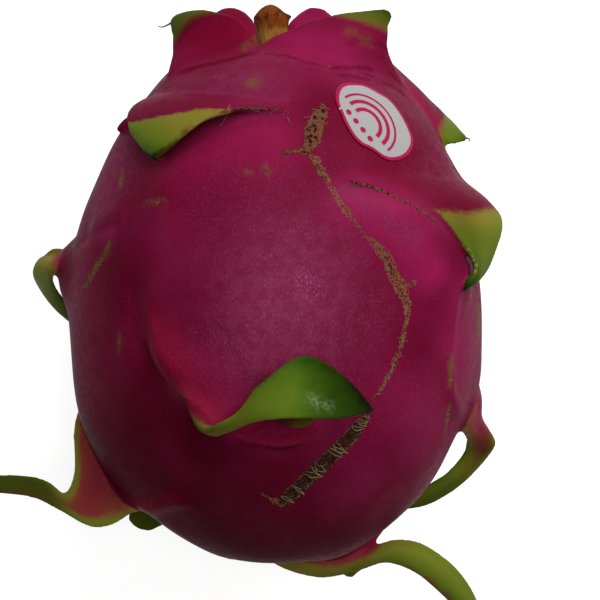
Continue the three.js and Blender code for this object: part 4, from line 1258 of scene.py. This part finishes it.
def paper_finish():
    """White paper with a pink rim, curved bars and a row of dots, drawn in the sticker's own plane."""
    finish = Finish("printed_paper", Roughness=0.42, Specular_IOR_Level=0.06)
    between = finish.between
    plane = finish.add("ShaderNodeUVMap", uv_map="print")
    across, up = (finish.add("ShaderNodeSeparateXYZ", {0: plane}, axis) for axis in (0, 1))

    def distance(x, y):
        return finish.maths("SQRT", x * x + y * y)

    def repeated(value, count):
        return finish.maths("FRACT", value * count)

    rim = between(finish.attribute("reach") - (up * 0.07 + 0.87), 0.0, 0.015)
    slit = between(finish.maths("ABSOLUTE", across - 0.2), 0.012, 0.006) * between(up, 0.5, 0.49)
    rim = rim * (1.0 - slit)
    # curved bars round a point near the lower end
    over_centre = up - 0.4
    radius = distance(across - 0.47, over_centre)
    bars = between(repeated(radius, 11.0), 0.48, 0.56) * between(over_centre, -0.02, 0.0)
    bars = bars * between(radius, 0.1, 0.105) * between(radius, 0.35, 0.345)
    # a row of round dots under them
    from_dot = distance((repeated(across, 9.0) - 0.5) * 0.111, up - 0.3)
    dots = between(from_dot, 0.036, 0.03) * between(across, 0.21, 0.215) * between(across, 0.675, 0.67)
    paper = finish.mix(finish.noise(300), PAPER_SHADE, PAPER_LIGHT)
    finish.feed("Base Color", finish.mix(finish.most(rim, bars, dots), paper, PINK_INK))
    finish.feed("Normal", finish.bump(finish.noise(250), 0.0003, 0.5))
    return finish.material


fruit.data.materials.clear()
fruit.data.materials.append(rind_finish())
GOLD = fibre_finish("golden_fibre", (0.06, 0.04, 0.012), (0.17, 0.125, 0.035))
DARK = fibre_finish("dark_fibre", (0.012, 0.005, 0.003), (0.05, 0.025, 0.01))
BROWN = fibre_finish("brown_fibre", (0.055, 0.022, 0.011), (0.16, 0.07, 0.035))

# ---- fibres along a path


class PathTree(Nodes):
    """A geometry tree that lays round strands along a path, in sizes that its named inputs ask for."""

    def __init__(self, name, asked):
        super().__init__(bpy.data.node_groups.new(name, "GeometryNodeTree"))
        for label, kind in [("Geometry", "Geometry"), *asked, ("Finish", "Material")]:
            self.tree.interface.new_socket(label, in_out="INPUT", socket_type="NodeSocket" + kind)
        self.tree.interface.new_socket("Geometry", in_out="OUTPUT", socket_type="NodeSocketGeometry")
        self.inputs = self.tree.nodes.new("NodeGroupInput").outputs

    def ask(self, label):
        return Value(self, self.inputs[label])

    def carried(self, name, kind):
        return self.add("GeometryNodeInputNamedAttribute", {"Name": name}, data_type=kind)

    def moved(self, geometry, offset):
        return self.add("GeometryNodeSetPosition", {"Geometry": geometry, "Offset": offset})

    def wavy(self, curve, scale, reach):
        """Curves whose points smooth noise shifts by this much."""
        waves = self.add("ShaderNodeTexNoise", {"Scale": scale, "Detail": 1.0}, "Color")
        return self.moved(curve, self.scaled(self.vectors("SUBTRACT", waves, (0.5, 0.5, 0.5)), reach))

    def finished(self, curve, sides, radius, **sizes):
        """Ends the tree: solid strands along these curves, in the material that was asked for."""
        profile = self.add("GeometryNodeCurvePrimitiveCircle", {"Resolution": sides, "Radius": radius})
        inputs = {"Curve": curve, "Profile Curve": profile, "Fill Caps": True, **sizes}
        solid = self.add("GeometryNodeRealizeInstances", {0: self.add("GeometryNodeCurveToMesh", inputs)})
        shaded = self.add("GeometryNodeSetMaterial", {"Geometry": solid, "Material": self.ask("Finish")})
        self.fill(self.tree.nodes.new("NodeGroupOutput").inputs[0], shaded)
        return self.tree


def fibre_tree():
    """Short bent fibres laid along a path of points that carry the rind's outward direction."""
    floats = ("Spacing", "Spread", "Lift", "Long", "Thick", "Bend", "Turn")
    made = PathTree("fibres_along_path", [*((name, "Float") for name in floats), ("Seed", "Int")])
    ask, add = made.ask, made.add

    def chance(low, high, salt):
        inputs = {2: low, 3: high, 8: ask("Seed") + float(salt)}
        return add("FunctionNodeRandomValue", inputs, 1, data_type="FLOAT")

    curve = add("GeometryNodeMeshToCurve", {"Mesh": ask("Geometry")})
    inputs = {"Curve": curve, "Length": ask("Spacing")}
    laid = add("GeometryNodeCurveToPoints", inputs, "Points", mode="LENGTH")
    tangent = Value(made, laid.socket.node.outputs["Tangent"])
    skin_way = made.carried("skin_way", "FLOAT_VECTOR")
    reach = made.carried("half_width", "FLOAT") * ask("Spread")
    side = made.vectors("NORMALIZE", made.vectors("CROSS_PRODUCT", tangent, skin_way))
    aside = made.scaled(side, chance(reach * -1.0, reach, 1))
    raised = made.scaled(skin_way, chance(0.0, ask("Lift"), 2))
    points = made.moved(laid, made.vectors("ADD", aside, raised))
    way = add("FunctionNodeAlignRotationToVector", {"Vector": skin_way}, axis="Z")
    inputs = {"Rotation": way, "Vector": tangent}
    way = add("FunctionNodeAlignRotationToVector", inputs, axis="X", pivot_axis="Z")
    yaw = add("ShaderNodeCombineXYZ", {2: chance(ask("Turn") * -1.0, ask("Turn"), 3)})
    inputs = {"Rotation": way, "Rotate By": add("FunctionNodeEulerToRotation", {0: yaw})}
    way = add("FunctionNodeRotateRotation", inputs, rotation_space="LOCAL")
    strand = add("GeometryNodeCurvePrimitiveLine", {"Start": (-0.5, 0, 0), "End": (0.5, 0, 0)})
    strand = add("GeometryNodeResampleCurve", {"Curve": strand, "Count": 7})
    scale = ask("Long") * chance(0.45, 1.3, 4)
    inputs = {"Points": points, "Instance": strand, "Rotation": way, "Scale": scale}
    lines = add("GeometryNodeRealizeInstances", {0: add("GeometryNodeInstanceOnPoints", inputs)})
    return made.finished(made.wavy(lines, 520.0, ask("Bend")), 4, ask("Thick"))


def strand_tree():
    """Round strands along runs of points that carry their own half width."""
    made = PathTree("strands_along_path", [("Thick", "Float"), ("Knots", "Float")])
    radius = made.carried("half_width", "FLOAT") * made.ask("Thick")
    curve = made.add("GeometryNodeMeshToCurve", {"Mesh": made.ask("Geometry")})
    return made.finished(made.wavy(curve, 1500.0, made.ask("Knots")), 6, 1.0, Scale=radius)


FIBRES = fibre_tree()
STRANDS = strand_tree()


def use_tree(piece, tree, **values):
    """Runs a geometry tree on a piece with its named inputs, and keeps the result as a plain mesh."""
    modifier = piece.modifiers.new(tree.name, "NODES")
    modifier.node_group = tree
    for item in tree.interface.items_tree:
        if item.in_out == "INPUT" and item.name in values:
            modifier[item.identifier] = values[item.name]
    return settled(piece)


def strands(name, runs, finish, thick, knots=0.0):
    """Thin strands along runs of points, each a list of (x, y, z) that tapers from its first point."""
    edges, widths = [], []
    for run in runs:
        first = len(widths)
        edges += [(first + i, first + i + 1) for i in range(len(run) - 1)]
        widths += list(np.linspace(1.0, STRAND_TIP, len(run)))
    piece = new_piece(name, np.vstack(runs), [], edges)
    give(piece.data, "half_width", np.array(widths))
    return use_tree(piece, STRANDS, Finish=finish, Thick=thick * MM, Knots=knots * MM)


# Fibre loops, with their reach as a share of the path's half width and the rest in millimetres.
LOOPS = {"slant": 0.5, "shortest": 0.9, "longest": 1.25, "bow": 1.0, "bundle": 2, "points": 9, "lift": 0.05,
         "rise": 0.45}
STRAND_TIP = 0.35  # a strand's width at its far end, where it is 1 at its first point


def loops_across(path, shares, seed):
    """Bundles of fibre loops that cross a path from edge to edge, at shares of the way along it."""
    rng = np.random.default_rng(seed)
    line, ways, half_width = path_on_rind(path, MARK_STEP)
    runs = []
    for place in (np.array(shares) * len(line)).astype(int):
        along = unit(line[place + 3] - line[place - 3])
        side = np.cross(along, ways[place])
        slant = rng.uniform(-LOOPS["slant"], LOOPS["slant"])
        reach = half_width[place] * rng.uniform(LOOPS["shortest"], LOOPS["longest"])
        for bow in rng.uniform(-LOOPS["bow"], LOOPS["bow"], LOOPS["bundle"]):
            across = np.linspace(-1, 1, LOOPS["points"])[:, None]
            arch = 1 - across**2
            run = line[place] + (side + along * slant) * reach * across + along * bow * arch
            runs.append(run + ways[place] * (LOOPS["lift"] + LOOPS["rise"] * arch))
    return runs


def lying(places, lift):
    """A smooth run of points over the rind and its scales through these (x, y)."""
    line, ways, _ = path_on_rind(places, FIBRE_STEP, True)
    return line + ways * lift


def scar_fibres(name, path, finish, on_leaves, sizes):
    """Short fibres along a path of the rind, in the sizes that FIBRE_SIZES names."""
    line, ways, half_width = path_on_rind(path, FIBRE_STEP, on_leaves)
    piece = new_piece(name, line, [], [(i, i + 1) for i in range(len(line) - 1)])
    skin_way = piece.data.attributes.new("skin_way", "FLOAT_VECTOR", "POINT")
    skin_way.data.foreach_set("vector", np.ascontiguousarray(ways, dtype=np.float32).ravel())
    give(piece.data, "half_width", half_width * MM)
    return use_tree(piece, FIBRES, Finish=finish, **dict(zip(FIBRE_SIZES, sizes)))


HAIRS = [[(-9.4, 43.6), (-10.3, 41.3), (-11.5, 39)], [(3.3, 41), (3.6, 40.2), (4, 39.3)]]
BAND_LOOPS = (0.03, 0.08, 0.15, 0.36, 0.39, 0.42, 0.57, 0.62, 0.66, 0.82, 0.93)
CURLED_TIP = [
    (-23.6, 67.6, 53.5), (-24.6, 67, 53.5), (-25.6, 66.4, 53.6), (-26.7, 65.9, 53.8), (-27.8, 66, 54),
]
HOOKED_TIP = [(46.4, 41.6, 38), (47, 41, 38), (47.6, 40.9, 38), (48.1, 40.7, 38), (48.3, 40.1, 38)]
FIBRE_SIZES = ("Spacing", "Spread", "Lift", "Long", "Thick", "Bend", "Turn", "Seed")
# Each row of fibres: its name, path and finish, whether it lies on a scale, and its sizes in metres.
SCAR_FIBRES = [
    ("scar_band_fibres", SCAR_BANDS[0], DARK, False,
     (0.0007, 0.9, 0.0002, 0.003, 0.00008, 0.0016, 0.5, 3)),
    ("scar_band_stitches", SCAR_BANDS[0], BROWN, False,
     (0.0022, 1.0, 0.0003, 0.002, 0.00006, 0.0024, 1.5, 8)),
    ("scar_upper_line_fibres", SCAR_NETS[0], GOLD, False,
     (0.0007, 1.0, 0.0001, 0.001, 0.00006, 0.0012, 1.4, 5)),
    ("scar_lower_line_fibres", SCAR_NETS[1], GOLD, False,
     (0.0007, 1.1, 0.0002, 0.0012, 0.00006, 0.0014, 1.4, 15)),
    ("scar_patch_fibres", CORK_PATCHES[0], BROWN, False,
     (0.0006, 1.2, 0.0002, 0.0014, 0.00008, 0.0012, 1.6, 6)),
    ("upper_left_crest_crumbs", CRESTS[1], BROWN, True,
     (0.0007, 1.2, 0.0001, 0.0009, 0.00006, 0.0012, 1.6, 11)),
    ("right_crest_crumbs", CRESTS[2], BROWN, True,
     (0.0007, 1.2, 0.0001, 0.0007, 0.00007, 0.0008, 1.6, 13)),
]
EXTRAS = [
    strands("scar_band_loops", loops_across(SCAR_BANDS[0], BAND_LOOPS, 4), GOLD, 0.13, 1.0),
    strands("crest_hairs", [lying(hair, 0.2) for hair in HAIRS], GOLD, 0.1),
    strands("top_left_curled_tip", [smooth_line(CURLED_TIP, np.linspace(0, 1, 16))], DARK, 0.32),
    strands("upper_right_hooked_tip", [smooth_line(HOOKED_TIP, np.linspace(0, 1, 12))], BROWN, 0.35),
    *(scar_fibres(*row) for row in SCAR_FIBRES),
]

# ---- the cut stem

STEM = {"base_y": 54.0, "top_y": 72.7, "rows": 120, "sides": 96, "lean_x": -1.1, "lean_z": 0.3,
        "rust_from": 0.45, "rust_full": 0.9}
# The stem's radius along its length, from the base to the middle of the rounded cut end.
STEM_PROFILE = [(0.0, 4.9), (0.3, 4.1), (0.5, 3.9), (0.68, 4.0), (0.79, 4.15), (0.83, 4.15), (0.87, 3.55),
                (0.912, 2.85), (0.95, 2.1), (0.98, 1.3), (1.0, 0.3)]
KNOB = {"at": (2.9, 69.6, 46.8), "reach": 0.75, "height": 1.0, "shade": 1.3}


def cut_stem():
    """A tube of dry wood with uneven sides, a rounded cut end and a small dark knob on it."""
    share, turn = tube_grid(STEM["rows"], STEM["sides"])
    # broad lobes, fine ribs and short rings
    rough = 1 + 0.04 * np.cos(3 * turn + 4 * share) + 0.025 * np.cos(5 * turn - 7 * share)
    rough += 0.012 * np.cos(23 * turn + 3 * np.sin(9 * share)) + 0.012 * np.sin(31 * share + 2 * turn)
    radius = np.interp(share, *zip(*STEM_PROFILE)) * rough
    rise = STEM["base_y"] + (STEM["top_y"] - STEM["base_y"]) * share
    middle = np.stack([STEM["lean_x"] * share, rise, CORE_HEIGHT + STEM["lean_z"] * share], axis=-1)
    points = middle + np.stack([radius * np.sin(turn), 0 * turn, radius * np.cos(turn)], axis=-1)
    away = length(points - np.array(KNOB["at"]))
    points = points + unit(points - middle) * (KNOB["height"] * bell(away, KNOB["reach"]))
    piece = new_piece("cut_stem", points.reshape(-1, 3), tube_faces(STEM["rows"], STEM["sides"]))
    give(piece.data, "cap", smooth(STEM["rust_from"], STEM["rust_full"], share).ravel())
    give(piece.data, "knob", bell(away, KNOB["shade"] * KNOB["reach"]).ravel())
    return finished_piece(piece, stem_finish())


stem = cut_stem()

# ---- the dried flower

FLOWER = {"radius": 4.2, "base_y": -56.8, "end_y": -62.6, "petals": 15, "seed": 21}
# Petals, with the radii of their two rings and their lengths as shares of the flower's.
PETAL = {"rows": 12, "sides": 8, "inner": 0.62, "outer": 0.9, "shortest": 0.6, "longest": 0.98,
         "half_width": 1.25, "half_thickness": 0.3}
CUP = {"rows": 8, "sides": 40, "rim": 0.3, "depth": 2.6}


def dried_flower():
    """The withered base of the flower: a ragged cup of thin dried petals round a hollow."""
    rng = np.random.default_rng(FLOWER["seed"])
    shells = []
    for petal in range(FLOWER["petals"]):
        start = 2 * math.pi * petal / FLOWER["petals"] + rng.uniform(-0.1, 0.1)
        ring = FLOWER["radius"] * PETAL["inner" if petal % 2 else "outer"]
        reach = rng.uniform(PETAL["shortest"], PETAL["longest"])
        lean = rng.uniform(-0.25, 0.1)
        share, turn = tube_grid(PETAL["rows"], PETAL["sides"])
        wide = PETAL["half_width"] * np.sin(math.pi * (0.22 + 0.74 * share)) + 0.05
        around = start + wide * np.cos(turn) / ring + 0.1 * np.sin(5 * share + petal)
        radius = ring * (1 + lean * share**2) + PETAL["half_thickness"] * np.sin(turn)
        radius += 0.15 * np.sin(7 * share + petal)
        along = FLOWER["base_y"] + (FLOWER["end_y"] - FLOWER["base_y"]) * reach * share
        points = round_core(radius, around, along).reshape(-1, 3)
        shells.append((points, tube_faces(PETAL["rows"], PETAL["sides"])))
    share, turn = tube_grid(CUP["rows"], CUP["sides"])
    radius = FLOWER["radius"] * (1.02 - 0.5 * share**2) * (1 + 0.05 * np.cos(9 * turn))
    cup = round_core(radius, turn, FLOWER["base_y"] + CUP["rim"] - CUP["depth"] * share)
    shells.append((cup.reshape(-1, 3), tube_faces(CUP["rows"], CUP["sides"])))
    return finished_piece(new_piece("dried_flower", *joined(shells)), petal_finish())


flower = dried_flower()

# ---- the paper sticker

STICKER = {"centre": (22.8, 40.8), "tilt": -52, "lift": 0.1, "thick": 0.14, "rings": 26, "sides": 160,
           "half_length": 11.5, "half_width": 8.5, "curl": 0.25, "curl_from": 0.75}
# The sticker's edge as (x, y), seen from above: a long oval with one dented side.
STICKER_EDGE = [
    (15.5, 49.8), (17.9, 50.3), (20.7, 50.1), (23.9, 48.5), (26.7, 46.8), (29, 43.8), (30.9, 40.1),
    (31.8, 36.8), (31, 34.2), (29.3, 32.5), (26.9, 31.8), (24.9, 32.2), (23, 33.5), (21.4, 34.4), (19.9, 35),
    (18, 36.7), (16.3, 39.5), (15, 42.7), (14, 45.6), (14.3, 48.2),
]


def paper_sticker():
    """Thin printed paper that follows the skin, with its left edge lifted a little."""
    centre = np.array(STICKER["centre"], float)
    edge = np.array(STICKER_EDGE + STICKER_EDGE[:4], float)
    turn = np.linspace(0, 1, STICKER["sides"], endpoint=False)
    whole = len(STICKER_EDGE)
    edge = smooth_line(edge, (1 + turn * whole) / (len(edge) - 1))
    ring = np.linspace(0, 1, STICKER["rings"] + 1)[1:, None]
    places = (centre + ring[..., None] * (edge - centre)[None]).reshape(-1, 2)
    places = np.vstack([places, centre])
    reach = np.append((ring * np.ones_like(turn)).ravel(), 0.0)
    skin, away = dropped(places, on_leaves=True)
    tilt = math.radians(STICKER["tilt"])
    flat_x = (places - centre) @ np.array([math.cos(tilt), math.sin(tilt)]) / STICKER["half_length"]
    flat_y = (places - centre) @ np.array([-math.sin(tilt), math.cos(tilt)]) / STICKER["half_width"]
    curl = STICKER["curl"] * smooth(STICKER["curl_from"], 1.0, reach) * smooth(0.2, 1.0, -flat_y)
    top = skin + away * (STICKER["lift"] + STICKER["thick"] + curl)[:, None]
    under = skin + away * (STICKER["lift"] + curl)[:, None]
    rings, sides = STICKER["rings"], STICKER["sides"]
    count = len(skin)
    middle = count - 1
    faces = []
    for side in range(sides):
        after = (side + 1) % sides
        faces.append((middle, after, side))
        faces.append((count + middle, count + side, count + after))
        for row in range(rings - 1):
            a, b = row * sides + side, row * sides + after
            faces.append((a, b, b + sides, a + sides))
            faces.append((count + a, count + a + sides, count + b + sides, count + b))
        a, b = (rings - 1) * sides + side, (rings - 1) * sides + after
        faces.append((a, b, count + b, count + a))
    piece = new_piece("paper_sticker", np.vstack([top, under]), faces)
    layer = piece.data.uv_layers.new(name="print")
    plane = np.column_stack([flat_x, flat_y]) * 0.5 + 0.5
    for loop in piece.data.loops:
        layer.data[loop.index].uv = plane[loop.vertex_index % count]
    give(piece.data, "reach", np.append(reach, reach))
    return finished_piece(piece, paper_finish())


sticker = paper_sticker()

# ---- the floor, the light and the camera

FLOOR_HALF = 5000.0  # in millimetres
AIM = (0, 0, 0.05)
# Lights: a place, a diameter and a strength, in metres and watts.
LIGHTS = {"key": ((0.5, 0.85, 0.9), 1.2, 26), "top": ((0.1, 0.02, 1.2), 0.5, 5)}
AIR_STRENGTH = 0.16
CAMERA = {"place": (0.0061, 0.0007, 0.4455), "sensor": 36, "lens": 98.4, "nearest": 0.01}


def pale_floor():
    corners = [(x * FLOOR_HALF, y * FLOOR_HALF, 0) for x, y in ((-1, -1), (1, -1), (1, 1), (-1, 1))]
    floor = new_piece("floor", corners, [(0, 1, 2, 3)])
    floor.data.materials.append(floor_finish())


def soft_light(name, place, size, watts):
    lamp = bpy.data.lights.new(name, "AREA")
    lamp.shape = "DISK"
    lamp.size = size
    lamp.energy = watts
    light = put_in_scene(name, lamp)
    light.location = place
    light.rotation_euler = (Vector(AIM) - Vector(place)).to_track_quat("-Z", "Y").to_euler()


def camera_overhead():
    lens = bpy.data.cameras.new("camera")
    lens.sensor_width = CAMERA["sensor"]
    lens.lens = CAMERA["lens"]
    lens.clip_start = CAMERA["nearest"]
    camera = put_in_scene("camera", lens)
    camera.location = CAMERA["place"]
    bpy.context.scene.camera = camera


def studio_air():
    world = bpy.data.worlds.new("studio")
    world.use_nodes = True
    background = world.node_tree.nodes["Background"]
    background.inputs["Color"].default_value = (1, 1, 1, 1)
    background.inputs["Strength"].default_value = AIR_STRENGTH
    bpy.context.scene.world = world


pale_floor()
studio_air()
for label, settings in LIGHTS.items():
    soft_light(label, *settings)
camera_overhead()
bpy.context.scene.view_settings.view_transform = "Standard"

# ---- hand-over


def hand_over(piece, node=None):
    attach(piece, "root")
    if node:
        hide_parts(node)


hand_over(fruit, "fruit")
hand_over(stem, "stem_stub")
hand_over(flower, "flower_scar")
hand_over(sticker, "sticker")
for extra in EXTRAS:
    hand_over(extra)
